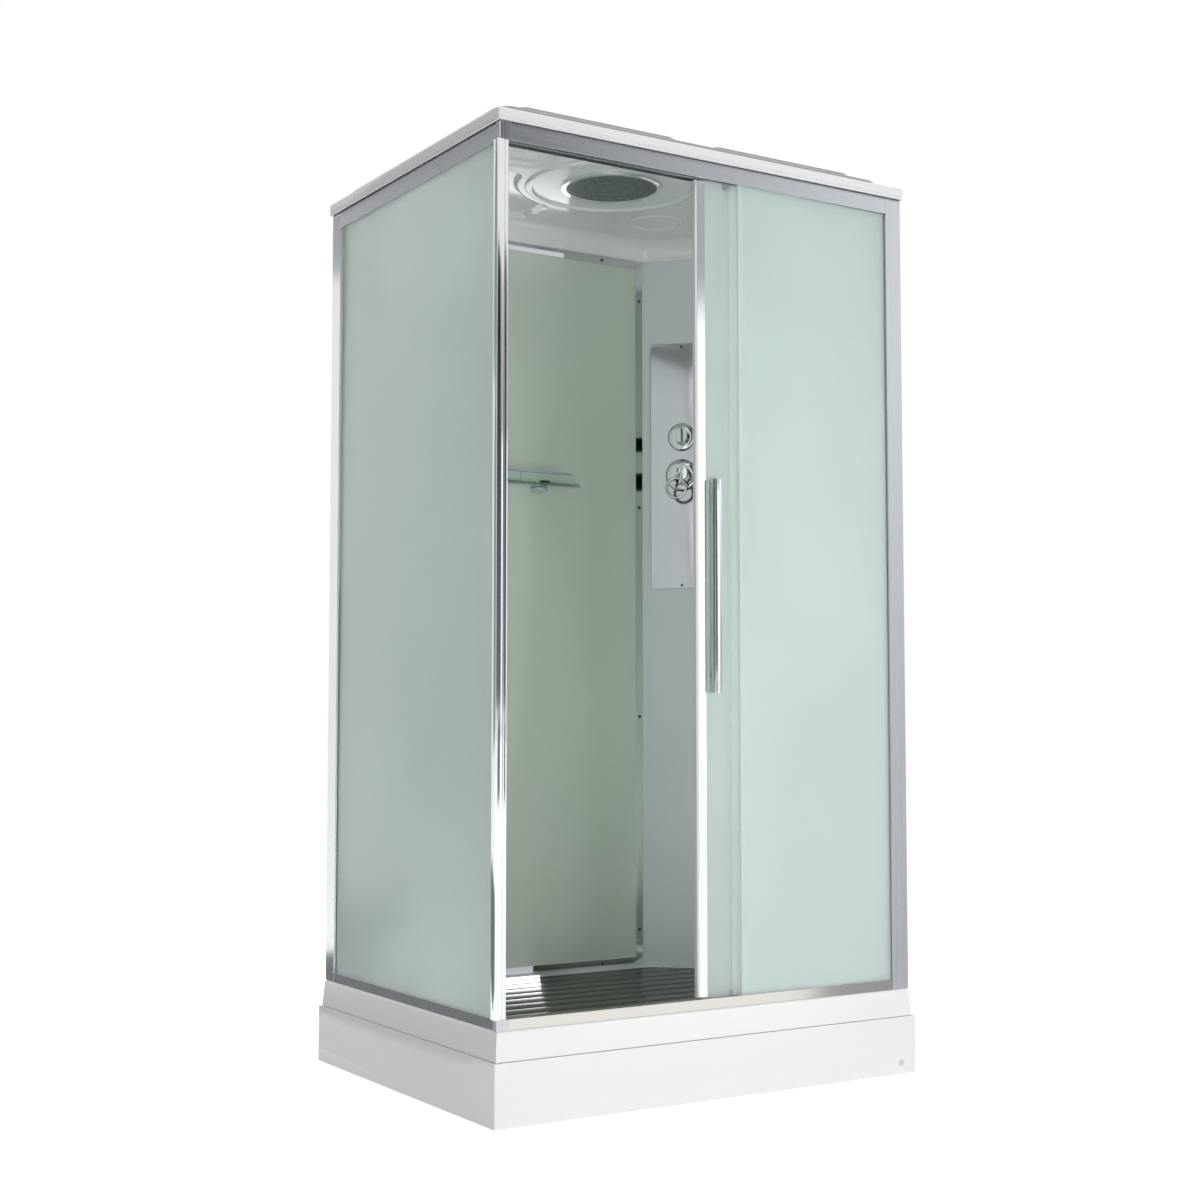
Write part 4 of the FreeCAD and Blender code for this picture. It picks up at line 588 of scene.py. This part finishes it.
def make_materials():
    """Every finish of the cabin, by the name that the steps give it."""
    colours = bpy.context.scene.cabin_colours
    materials.update(
        acrylic=sanitary_acrylic(colours.acrylic),
        abs=gloss_abs("gloss_abs", colours.abs),
        # painted shade: the roof takes the apron's ABS colour darkened to 93 %
        roof=gloss_abs("gloss_abs_roof", shade(colours.abs, 0.93), linear("#8E9092"), ROOF_BACKING_FROM),
        dark_steel=stainless_steel("darkened_steel", linear("#606264")),
        column=satin_sheet(colours.column),
        frost=etched_glass(colours.frost),
        wall=back_painted_glass(colours.wall),
        shelf=float_glass(linear("#D5EBE3")),
        chrome=chrome_plating(colours.bright),
        plate=polished_plate(linear("#E6E1E6")),
        knob=knob_chrome_painted_shade(colours.bright, -COLUMN_INTO),
        threshold=drawn_metal("threshold_aluminium", linear("#CBC9C3"), 0.14, "X", 0.00002),
        stainless=stainless_steel("stainless_steel", linear("#C6C6C6")),
        decking=composite_board(colours.decking),
        vinyl=clear_vinyl(linear("#F0F4F3")),
        magnet=soft_rubber("magnetic_seal", linear("#C9CCCD"), 0.45),
        # the second, dark colour is painted shade on the seals by the right post
        rubber=soft_rubber("glazing_rubber", linear("#C6CBCA"), 0.5, linear("#3A3F3E")),
        nylon=moulded_plastic("white_nylon", linear("#DCDCD8"), 0.4),
        feet=moulded_plastic("black_polyamide", linear("#2A2A2B"), 0.5),
        waste=moulded_plastic("white_polypropylene", linear("#D9D9D6"), 0.42),
        spray=moulded_plastic("spray_face_abs", linear("#5A625D"), 0.38),
        zinc=galvanised_steel(linear("#A9ACAE")),
        brass=cast_brass(linear("#C2A468")),
    )
    for along in "XYZ":
        materials["anodised_" + along] = anodised_aluminium(colours.aluminium, along)
        materials["polished_" + along] = polished_aluminium(colours.bright, along)


# Operators, one for each piece or group of like pieces

class MakeFinishes(bpy.types.Operator):
    """Makes every material of the cabin"""
    bl_idname = "cabin.make_finishes"
    bl_label = "Finishes"

    def execute(self, context):
        make_materials()
        return {"FINISHED"}


class MakeMouldings(bpy.types.Operator):
    """Makes the tray, the apron and the column's sheet"""
    bl_idname = "cabin.make_mouldings"
    bl_label = "Tray, apron and column"

    def execute(self, context):
        size = context.scene.cabin_sizes.moulding_round
        softened("shower_tray", "acrylic", size, segments=3, prepare=[join_rim])
        softened("apron", "abs", size, segments=3)
        softened("column_panel", "column", 0.8 * MM)
        return {"FINISHED"}


def ceiling_height(places, start, end, ahead=0.0):
    """Height of the ceiling's underside over the flat, at places in plan.

    Three panels rise over a slope between two distances inside their outlines: each is a rounded rectangle
    less the circle round the head, and the front two may reach further ahead. A half-round bead hangs down
    on a circle round the head."""
    rise, corner, head_circle, blend = 10 * MM, 30 * MM, 238 * MM, 30 * MM
    bead_drop, bead_circle, bead_half = 6 * MM, 208 * MM, 11 * MM
    left, right, front, back = (-0.478, -0.047), (0.047, 0.473), (-0.356 - ahead, -0.029), (0.029, 0.376)
    from_head = norm(places, axis=1)
    height = np.zeros(len(places))
    for (x0, x1), (y0, y1) in ((left, front), (right, front), (left, back)):
        half = np.array([(x1 - x0) / 2, (y1 - y0) / 2]) - corner
        past = np.abs(places - [(x0 + x1) / 2, (y0 + y1) / 2]) - half
        block = norm(np.maximum(past, 0), axis=1) + np.minimum(past.max(axis=1), 0) - corner
        outside = smooth_max(block, head_circle - from_head, blend)
        height += rise * smooth_step(-outside, start, end)
    bead = 1 - np.abs(from_head - bead_circle) / bead_half
    return height - bead_drop * np.sqrt(np.clip(bead * (2 - bead), 0, 1)) * smooth_step(bead, 0, 0.25)


class MakeRoof(bpy.types.Operator):
    """Makes the moulded roof: its rim, and the coved ceiling with its panels and beads"""
    bl_idname = "cabin.make_roof"
    bl_label = "Roof"

    def execute(self, context):
        low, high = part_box("roof")
        size = context.scene.cabin_sizes.moulding_round
        wall = ROOF_WALL
        rim_height, dome_rise, lip_drop = 24 * MM, 27 * MM, 3.5 * MM
        corner, near, bevel = 45 * MM, 3 * MM, 0.5 * MM
        rim_top = low.z + rim_height
        flat = rim_top + dome_rise
        cut = COLUMN_SUM - wall
        left, front, right, back = -0.539, -0.392, 0.551, 0.416
        dome = outline([(left, front), (right, front), (right, cut - right), (cut - back, back),
                        (left, back)], corner, 8)
        grown = (dome[0] + wall * dome[1], dome[1])
        edge = outline([(low.x, low.y), (high.x, low.y), (high.x, high.y - near), (high.x - near, high.y),
                        (low.x, high.y)], [wall, wall, near, near, wall], 8)
        quarter = np.linspace(0, math.pi / 2, 5)
        section = [(edge, size - size * math.cos(a), rim_top - size + size * math.sin(a)) for a in quarter]
        foot = low.z - lip_drop
        section += [(grown, 0.0, rim_top), (grown, 0.0, rim_top - wall), (edge, wall, rim_top - wall),
                    (edge, wall, foot + bevel), (edge, wall - bevel, foot)]
        lip_and_grooves = ((0.5, 0), (0, 0.5), (0, 2.6), (1.3, 3.2), (1.3, 5), (0, 5.6), (0, 7.8), (1, 8.3),
                           (1, 9.3), (0, 9.8))
        section += [(edge, inset * MM, foot + z * MM) for inset, z in lip_and_grooves]
        rim = skin(np.stack([inset_ring(*layer) for layer in section]), wrap_rows=True)

        places, normals = evenly(dome, 560)
        angle = np.linspace(0, math.pi / 2, 14)
        cove = 45 * MM
        lip = low.z + 3 * MM
        under = [(places, low.z)]
        under += [(places - cove * (1 - math.cos(a)) * normals, lip + (flat - lip) * math.sin(a))
                  for a in angle]
        far = under[-1][0]
        way = far / norm(far, axis=1)[:, None]
        head_reach = 0.25
        inner = head_reach * way
        under += [(inner + (far - inner) * (1 - t), flat) for t in np.linspace(0, 1, 56)[1:]]
        circles = np.concatenate([np.linspace(0.248, 0.222, 12), np.linspace(0.2205, 0.195, 18),
                                  np.linspace(0.19, 0.118, 12)])
        under += [(r * way, flat) for r in circles]
        over = [(r * way, flat) for r in (0.118, 0.18, 0.228, 0.234, 0.24, head_reach)]
        over += [(inner + (far - inner) * t, flat) for t in np.linspace(0, 1, 34)[1:]]
        shoulder = [(inset, 0) for inset in (38, 34, 31, 29, 27, 25, 23, 20, 16)]
        shoulder += [(12, 0.3), (9, 1.2), (6, 3), (3, 6), (0, 10), (-2.5, 16)]
        over += [(places - inset * MM * normals, flat - drop * MM) for inset, drop in shoulder]
        over += [(places + wall * normals, z) for z in (rim_top - wall, low.z)]
        rings = []
        for k, (at, z) in enumerate(under + over):
            outer = k >= len(under)
            fade = (0.006, 0.016) if outer else (0.04, 0.06)
            inside = smooth_step(norm(at - places, axis=1), *fade)
            lift = wall if outer and z > rim_top else 0.0
            reach = (-0.007, -0.001, 0.008) if outer else (-0.004, 0.010)
            rings.append(np.column_stack([at, z + lift + ceiling_height(at, *reach) * inside]))
        ceiling = skin(np.stack(rings), wrap_rows=True)
        turn = np.arange(72)[:, None] * 2 * math.pi / 72
        radius, bead = 67 * MM, 7 * MM
        middle = np.array([0.280, 0.215, flat + bead / 2])
        disc = tube(middle + radius * (np.cos(turn) * X_WAY + np.sin(turn) * Y_WAY), bead, closed=True)
        make_piece("roof_moulding", together([rim, ceiling, disc]), "roof", ["roof"], 32.0)
        return {"FINISHED"}


class MakeProfiles(bpy.types.Operator):
    """Makes the rails, posts, uprights and connectors"""
    bl_idname = "cabin.make_profiles"
    bl_label = "Rails and posts"

    def execute(self, context):
        width = context.scene.cabin_sizes.edge_round
        finishes = {
            "bottom_rail_front": "threshold", "bottom_rail_left": "polished_Y",
            "top_rail_front": "anodised_X", "top_rail_left": "anodised_Y", "corner_connectors": "anodised_Z",
            "rear_left_post": "polished_Z", "front_right_post": "anodised_Z", "back_wall_rails": "polished_X",
            "back_wall_uprights": "polished_Z", "right_wall_rails": "polished_Y",
            "right_wall_uprights": "polished_Z", "door_profile": "polished_Z",
        }
        for node, material in finishes.items():
            softened(node, material, width)
        low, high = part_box("corner_post")
        section = [(6.5, 12), (22, 12), (22, 14), (25, 14), (25, 12.6), (33.5, 12.6), (33.5, 31), (32, 31),
                   (32, 38), (26, 38), (26, 31.5), (19, 31.5), (19, 38), (14, 38), (14, 31), (6.5, 31)]
        corners = np.array(section) * MM - [HALF_WIDTH, HALF_DEPTH]
        radii = [1.5 * MM, 0.8 * MM, 0.3 * MM, 0.3 * MM, 0.6 * MM, 1.2 * MM] + [0.3 * MM] * 9 + [0.8 * MM]
        post = loft(outline(corners, radii, 4), rounded_layers(low.z, high.z, width, 2))
        make_piece("corner_post_profile", post, "polished_Z", ["corner_post"])
        return {"FINISHED"}


class MakeDecking(bpy.types.Operator):
    """Makes the decking boards, their ends cut off beside the column"""
    bl_idname = "cabin.make_decking"
    bl_label = "Decking"

    def execute(self, context):
        low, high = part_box("decking_slats")
        pitch = 67 * MM
        gap = 5.5 * MM
        setback = 52 * MM
        clearance = 4 * MM
        cut_sum = COLUMN_SUM - setback - clearance * math.sqrt(2)
        size = context.scene.cabin_sizes.board_round
        boards = []
        start = low.y
        while start < high.y - gap:
            end = min(start + pitch - gap, high.y)
            places, normals = block_outline(start, end, low.z, high.z, size, 4)
            near = np.full(len(places), low.x)
            far = np.minimum(high.x, cut_sum - places[:, 0])
            steps = [(size, 0.0), (size * 0.3, 0.0), (0.0, size * 0.7)]
            rings = [np.column_stack([near + lead, places - inset * normals]) for inset, lead in steps]
            rings += [np.column_stack([far - lead, places - inset * normals]) for inset, lead in steps[::-1]]
            boards.append(skin(np.stack(rings)))
            start += pitch
        make_piece("decking_boards", together(boards), "decking", ["decking_slats"])
        return {"FINISHED"}


class MakeGlass(bpy.types.Operator):
    """Makes the panes with ground edges, and the shelf's glass"""
    bl_idname = "cabin.make_glass"
    bl_label = "Glass"

    def execute(self, context):
        arris = context.scene.cabin_sizes.glass_arris
        sideways, frontal = (Y_WAY, Z_WAY, X_WAY), (X_WAY, Z_WAY, -Y_WAY)
        panes = {
            "left_glass": ("frost", sideways), "front_glass": ("frost", frontal),
            "door_glass": ("frost", frontal), "back_wall_glass": ("wall", frontal),
            "right_wall_glass": ("wall", sideways),
        }
        for node, (material, axes) in panes.items():
            low, high = (np.array(corner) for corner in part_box(node))
            along, up, out = (sorted((low @ np.abs(axis), high @ np.abs(axis))) for axis in axes)
            shape = block_outline(*along, *up, 2 * arris, 3)
            if axes is frontal:
                out = sorted(-v for v in out)
            pane = loft(shape, rounded_layers(*out, arris, 3), axes=axes)
            make_piece(node + "_pane", pane, material, [node])
        low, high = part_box("shelf_glass")
        radius = 56 * MM
        shape = outline([(low.x, low.y), (high.x, low.y), (high.x, high.y), (low.x, high.y)],
                        [radius, radius, 2 * arris, 2 * arris], 16)
        make_piece("shelf_glass_plate", loft(shape, rounded_layers(low.z, high.z, arris, 3)),
                   "shelf", ["shelf_glass"])
        return {"FINISHED"}


class MakeShelfRail(bpy.types.Operator):
    """Makes the shelf's guard rail and brackets"""
    bl_idname = "cabin.make_shelf_rail"
    bl_label = "Shelf rail"

    def execute(self, context):
        low, high = (np.array(corner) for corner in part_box("shelf_rail"))
        radius = (high[1] - low[1]) / 2
        y = (low[1] + high[1]) / 2
        bar_z = high[2] - radius
        left, right = low[0] + radius, high[0] - radius
        bend = 6 * MM
        bar, collar_radius, collar_height = radius * 0.9, radius * 1.6, 1.5 * MM
        quarter = np.linspace(0, math.pi / 2, 8)
        inwards, height = bend * (1 - np.cos(quarter)), bar_z - bend * (1 - np.sin(quarter))
        start = np.column_stack([left + inwards, height])
        end = np.column_stack([right - inwards, height])[::-1]
        line = np.concatenate([[(left, low[2])], start, end, [(right, low[2])]])
        path = np.column_stack([line[:, 0], np.full(len(line), y), line[:, 1]])
        middle = np.array([(left + right) / 2, y, 0])
        post = tube([middle + Z_WAY * low[2], middle + Z_WAY * bar_z], bar)
        collar = [(0, 0), (collar_radius, 0), (collar_radius, collar_height), (0, collar_height)]
        feet = [lathe(rounded_profile(collar, 0.6 * MM), (x, y, low[2]), Z_WAY, 24)
                for x in (left, middle[0], right)]
        make_piece("shelf_guard_rail", together([tube(path, bar), post] + feet), "chrome", ["shelf_rail"])
        softened("shelf_brackets", "chrome", 1.5 * MM, segments=3)
        return {"FINISHED"}


class MakeControls(bpy.types.Operator):
    """Makes the cover plate, the roses, the knobs and the ring lever"""
    bl_idname = "cabin.make_controls"
    bl_label = "Controls"

    def execute(self, context):
        out = -COLUMN_INTO
        plate_face = 6 * MM
        softened("control_plate", "plate", 0.3 * MM)
        softened("plate_screws", "dark_steel", 0.3 * MM)
        for node, joint, radius, height, bore in (
            ("diverter_rose", "diverter_turn", 39 * MM, 8 * MM, 6.5 * MM),
            ("mixer_rose", "mixer_turn", 45 * MM, 10 * MM, 8.5 * MM),
        ):
            profile = [(bore, 0), (radius, 0), (radius, height * 0.35), (radius * 0.9, height * 0.85),
                       (radius * 0.72, height), (bore, height), (bore, 0)]
            points, faces = lathe(rounded_profile(profile, 2.4 * MM), Vector(joints[joint]["pos_m"]), out)
            make_piece(node + "_turned", (points + plate_face * out, faces[:-2]), "knob", [node])
        for node, width in (("diverter_knob", 1.2), ("mixer_knob", 1.2), ("mixer_lever", 0.8)):
            softened(node, "knob", width * MM, segments=3)
        return {"FINISHED"}


class MakeRainHead(bpy.types.Operator):
    """Makes the spray face with its nozzles, the bezel and the chamber"""
    bl_idname = "cabin.make_rain_head"
    bl_label = "Rain head"

    def execute(self, context):
        low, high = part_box("rain_head_face")
        radius = (high.x - low.x) / 2
        centre = np.array([(low.x + high.x) / 2, (low.y + high.y) / 2, 0])
        nozzle_length = 2 * MM
        face_z = low.z + nozzle_length
        groove, groove_edge, groove_at = 0.6 * MM, 1.2 * MM, 0.64 * radius
        profile = [(0, high.z), (radius, high.z), (radius, face_z), (radius - 2 * MM, face_z),
                   (groove_at + groove_edge, face_z), (groove_at + groove, face_z + groove),
                   (groove_at - groove, face_z + groove), (groove_at - groove_edge, face_z), (0, face_z)]
        parts = [lathe(profile, centre, Z_WAY, 96)]
        foot = context.scene.cabin_sizes.nozzle_radius
        tip = [(0, face_z + 0.5 * MM), (foot, face_z + 0.5 * MM), (foot, face_z - 0.4 * MM),
               (foot * 0.6, face_z - 1.9 * MM), (0, face_z - nozzle_length)]
        for circle, count in ((38 * MM, 12), (66 * MM, 20), (94 * MM, 28)):
            for turn in np.arange(count) * 2 * math.pi / count:
                place = centre + circle * np.array([math.cos(turn), math.sin(turn), 0])
                parts.append(lathe(tip, place, Z_WAY, 10))
        make_piece("spray_face", together(parts), "spray", ["rain_head_face"])
        softened("rain_head_bezel", "chrome", 0.6 * MM, segments=3)
        softened("rain_head_body", "abs", 0.6 * MM)
        return {"FINISHED"}


class MakeHandle(bpy.types.Operator):
    """Makes the door's bar handle and its mounts"""
    bl_idname = "cabin.make_handle"
    bl_label = "Handle"

    def execute(self, context):
        low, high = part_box("door_handle")
        to_left, to_right, to_back = 3.5 * MM, 0.5 * MM, 3 * MM
        edge_radius, end_radius = 1.0 * MM, 0.9 * MM
        shape = block_outline(low.x - to_left, high.x + to_right, low.y, high.y + to_back, edge_radius, 4)
        bar = loft(shape, rounded_layers(low.z, high.z, end_radius, 4))
        make_piece("door_handle_bar", bar, "polished_Z", ["door_handle"])
        softened("door_handle_mounts", "chrome", 0.4 * MM)
        return {"FINISHED"}


class MakeHardware(bpy.types.Operator):
    """Finishes the rollers, brackets, seals, screws, valves, pipes, frame, feet and waste"""
    bl_idname = "cabin.make_hardware"
    bl_label = "Hardware"

    def execute(self, context):
        finishes = {
            "front_glass_seal": ("vinyl", 0.3), "door_fin_seal": ("vinyl", 0.2),
            "door_magnet_seal": ("magnet", 0.5), "corner_magnet_strip": ("magnet", 0.5),
            "glazing_seals": ("rubber", 0.2), "top_roller_brackets": ("stainless", 0.4),
            "bottom_roller_brackets": ("stainless", 0.4), "top_roller_left": ("nylon", 0.3),
            "top_roller_right": ("nylon", 0.3), "bottom_roller_left": ("nylon", 0.3),
            "bottom_roller_right": ("nylon", 0.3), "wall_screws": ("dark_steel", 0.2),
            "apron_screws": ("stainless", 0.2), "diverter_valve": ("brass", 0.8),
            "mixer_valve": ("brass", 0.8), "riser_pipe": ("stainless", 0.1), "support_frame": ("zinc", 0.8),
            "adjustable_feet": ("feet", 0.5), "waste_body": ("waste", 0.6), "waste_cover": ("chrome", 0.5),
            "decking_bearers": ("decking", 1.0),
        }
        for node, (material, width) in finishes.items():
            softened(node, material, width * MM)
        return {"FINISHED"}


# Stage

def bare_material(name):
    """Material without a shader, with its tree and the socket of its surface."""
    material = bpy.data.materials.new(name)
    material.use_nodes = True
    tree = material.node_tree
    tree.nodes.clear()
    return material, tree, add(tree, "OutputMaterial").inputs["Surface"]


def sheet(name, corners, material):
    """Four-cornered sheet."""
    mesh = bpy.data.meshes.new(name)
    mesh.from_pydata(corners, [], [(0, 1, 2, 3)])
    mesh.materials.append(material)
    return placed(name, mesh)


def card(name, corners, low, high, split, back=1.0):
    """Matt studio card that only mirrors see: its grey goes from low at its foot to high at its top, and its
    back has a share of that."""
    material, tree, surface = bare_material(name)
    where = add(tree, "TexCoord").outputs["Object"]
    height = add(tree, "SeparateXYZ", {"Vector": where}).outputs["Z"]
    grey = add(tree, "MapRange", {"Value": height, "From Min": split[0], "From Max": split[1],
                                  "To Min": low, "To Max": high})
    behind = add(tree, "NewGeometry").outputs["Backfacing"]
    share = add(tree, "MapRange", {"Value": behind, "To Min": 1.0, "To Max": back})
    level = add(tree, "Math", {0: grey.outputs["Result"], 1: share.outputs["Result"]}, operation="MULTIPLY")
    glow = add(tree, "Emission", {"Color": (0.93, 0.96, 1.0, 1), "Strength": level.outputs["Value"]})
    tree.links.new(glow.outputs["Emission"], surface)
    piece = sheet(name, corners, material)
    for ray in ("camera", "diffuse", "transmission", "shadow"):
        setattr(piece, "visible_" + ray, False)


def upright(left, right, y, foot, head):
    """Corners of an upright card that runs along X."""
    return [(left, y, foot), (right, y, foot), (right, y, head), (left, y, head)]


def lying(*places):
    """Corners of a card that lies just over the floor."""
    return [(x, y, 4 * MM) for x, y in places]


def lamp(name, place, target, size, energy):
    """Square lamp aimed at a target; metal and glass mirror the cards in its stead."""
    data = bpy.data.lights.new(name, "AREA")
    data.size = size
    data.energy = energy
    light = placed(name, data)
    light.location = place
    light.rotation_euler = (Vector(target) - Vector(place)).to_track_quat("-Z", "Y").to_euler()
    light.visible_glossy = False


def background_share(tree):
    """1 for rays that show the background: the camera's, and those through or off glass and metal."""
    path = add(tree, "LightPath")
    first = add(tree, "Math", {0: path.outputs["Is Camera Ray"], 1: path.outputs["Is Glossy Ray"]},
                operation="MAXIMUM")
    return add(tree, "Math", {0: first.outputs["Value"], 1: path.outputs["Is Transmission Ray"]},
               operation="MAXIMUM").outputs["Value"]


class MakeStage(bpy.types.Operator):
    """Makes the floor, the world, the lamps, the studio cards and the camera"""
    bl_idname = "cabin.make_stage"
    bl_label = "Stage"

    def execute(self, context):
        scene = context.scene
        scene.view_settings.view_transform = "Standard"
        world = bpy.data.worlds.new("studio")
        scene.world = world
        world.use_nodes = True
        tree = world.node_tree
        backdrop = tree.nodes["Background"]
        backdrop.inputs["Color"].default_value = (1, 1, 1, 1)
        light_on_object, floor_glow = 0.48, 0.65
        share = background_share(tree)
        level = add(tree, "MapRange", {"Value": share, "To Min": light_on_object, "To Max": 1.0})
        tree.links.new(level.outputs["Result"], backdrop.inputs["Strength"])

        material, tree, surface = bare_material("pale_floor")
        matt = add(tree, "BsdfDiffuse", {"Color": (0.82, 0.82, 0.82, 1)})
        strength = add(tree, "Math", {0: background_share(tree), 1: floor_glow}, operation="MULTIPLY")
        glow = add(tree, "Emission", {"Color": (1, 1, 1, 1), "Strength": strength.outputs["Value"]})
        both = add(tree, "AddShader", {0: matt.outputs["BSDF"], 1: glow.outputs["Emission"]})
        tree.links.new(both.outputs["Shader"], surface)
        reach = 12.0
        corners = [(-reach, -reach, 0), (reach, -reach, 0), (reach, reach, 0), (-reach, reach, 0)]
        floor = sheet("floor", corners, material)

        lamp("key", (2.9, -4.8, 1.25), (0.2, -0.3, 1.1), 2.2, 58)
        lamp("low", (-0.7, -3.9, 0.35), (-0.1, 0.1, 2.15), 1.0, 62)
        lamp("top", (0.0, -0.5, 5.0), (0, 0, 1.5), 3.0, 60)
        lamp("left", (-4.2, 1.5, 1.2), (-0.55, 0.0, 1.1), 2.0, 14)

        front = -7.0
        for name, left, right, foot, head, low, high in (
            ("front_flag", -7.0, 3.5, 0.1, 6.0, 0.17, 0.03),
            ("post_flag", 3.5, 4.1, 0.1, 3.7, 0.17, 0.09),
            ("softbox", 4.1, 5.45, 0.0, 3.6, 1.6, 1.6),
            ("high_flag", 3.5, 5.6, 3.7, 6.0, 0.5, 0.6),
            ("right_flag", 5.6, 12.0, 0.0, 5.6, 0.55, 1.35),
        ):
            split = (foot + 0.15 * (head - foot), head - 0.25 * (head - foot))
            card(name, upright(left, right, front, foot, head), low, high, split)
        card("side_flag", upright(-9.0, -4.1, 6.5, 0.0, 3.6), 0.36, 0.34, (0.0, 3.6))
        card("side_high_flag", upright(-9.0, -2.9, 6.5, 3.6, 6.5), 0.5, 0.34, (3.6, 4.4))
        for name, grey, places in (
            ("side_floor_flag", 0.22, ((-1.7, 0.2), (-0.85, 0.2), (-0.85, 2.3), (-1.7, 2.3))),
            ("floor_flag", 0.5, ((0.74, -1.0), (5.6, -7.0), (7.8, -7.0), (1.6, -1.0))),
            ("front_floor_flag", 0.2, ((0.45, -3.0), (2.3, -7.0), (3.9, -7.0), (1.15, -3.0))),
        ):
            card(name, lying(*places), grey, grey, (0.0, 1.0))
        # painted highlights: two glowing cards inside the cabin, seen only in reflections, lay bright streaks on
        # the deck, the back rail and the ceiling's cove
        card("wall_glow", upright(-0.22, 0.03, 0.4, 0.17, 0.25), 5.8, 1.6, (0.17, 0.24), 0.12)
        card("ceiling_glow", upright(-0.12, 0.12, 0.405, 1.99, 2.12), 0.4, 3.0, (1.99, 2.11), 0.25)

        view = bpy.data.cameras.new("camera")
        view.lens = 53.84
        view.sensor_width = 36.0
        camera = placed("camera", view)
        camera.location = (-2.3899, -3.7350, 0.8478)
        camera.rotation_euler = (math.radians(93.729), 0, math.radians(-32.234))
        scene.camera = camera
        return {"FINISHED"}


STEPS = (
    MakeFinishes, MakeMouldings, MakeRoof, MakeProfiles, MakeDecking, MakeGlass, MakeShelfRail, MakeControls,
    MakeRainHead, MakeHandle, MakeHardware, MakeStage,
)


class CabinPanel(bpy.types.Panel):
    """Lists the cabin's settings and the steps that make it"""
    bl_idname = "VIEW3D_PT_cabin"
    bl_label = "Shower cabin"
    bl_space_type = "VIEW_3D"
    bl_region_type = "UI"
    bl_category = "Cabin"

    def draw(self, context):
        for group in (context.scene.cabin_sizes, context.scene.cabin_colours):
            for name in group.__annotations__:
                self.layout.prop(group, name)
        for step in STEPS:
            self.layout.operator(step.bl_idname)


def register():
    for item in (CabinSizes, CabinColours, CabinPanel) + STEPS:
        bpy.utils.register_class(item)
    bpy.types.Scene.cabin_sizes = bpy.props.PointerProperty(type=CabinSizes)
    bpy.types.Scene.cabin_colours = bpy.props.PointerProperty(type=CabinColours)


def unregister():
    del bpy.types.Scene.cabin_colours
    del bpy.types.Scene.cabin_sizes
    for item in reversed((CabinSizes, CabinColours, CabinPanel) + STEPS):
        bpy.utils.unregister_class(item)


def main():
    """Registers the add-on, and makes every piece and the stage."""
    register()
    for step in STEPS:
        group, action = step.bl_idname.split(".")
        getattr(getattr(bpy.ops, group), action)()


if __name__ == "__main__":
    main()
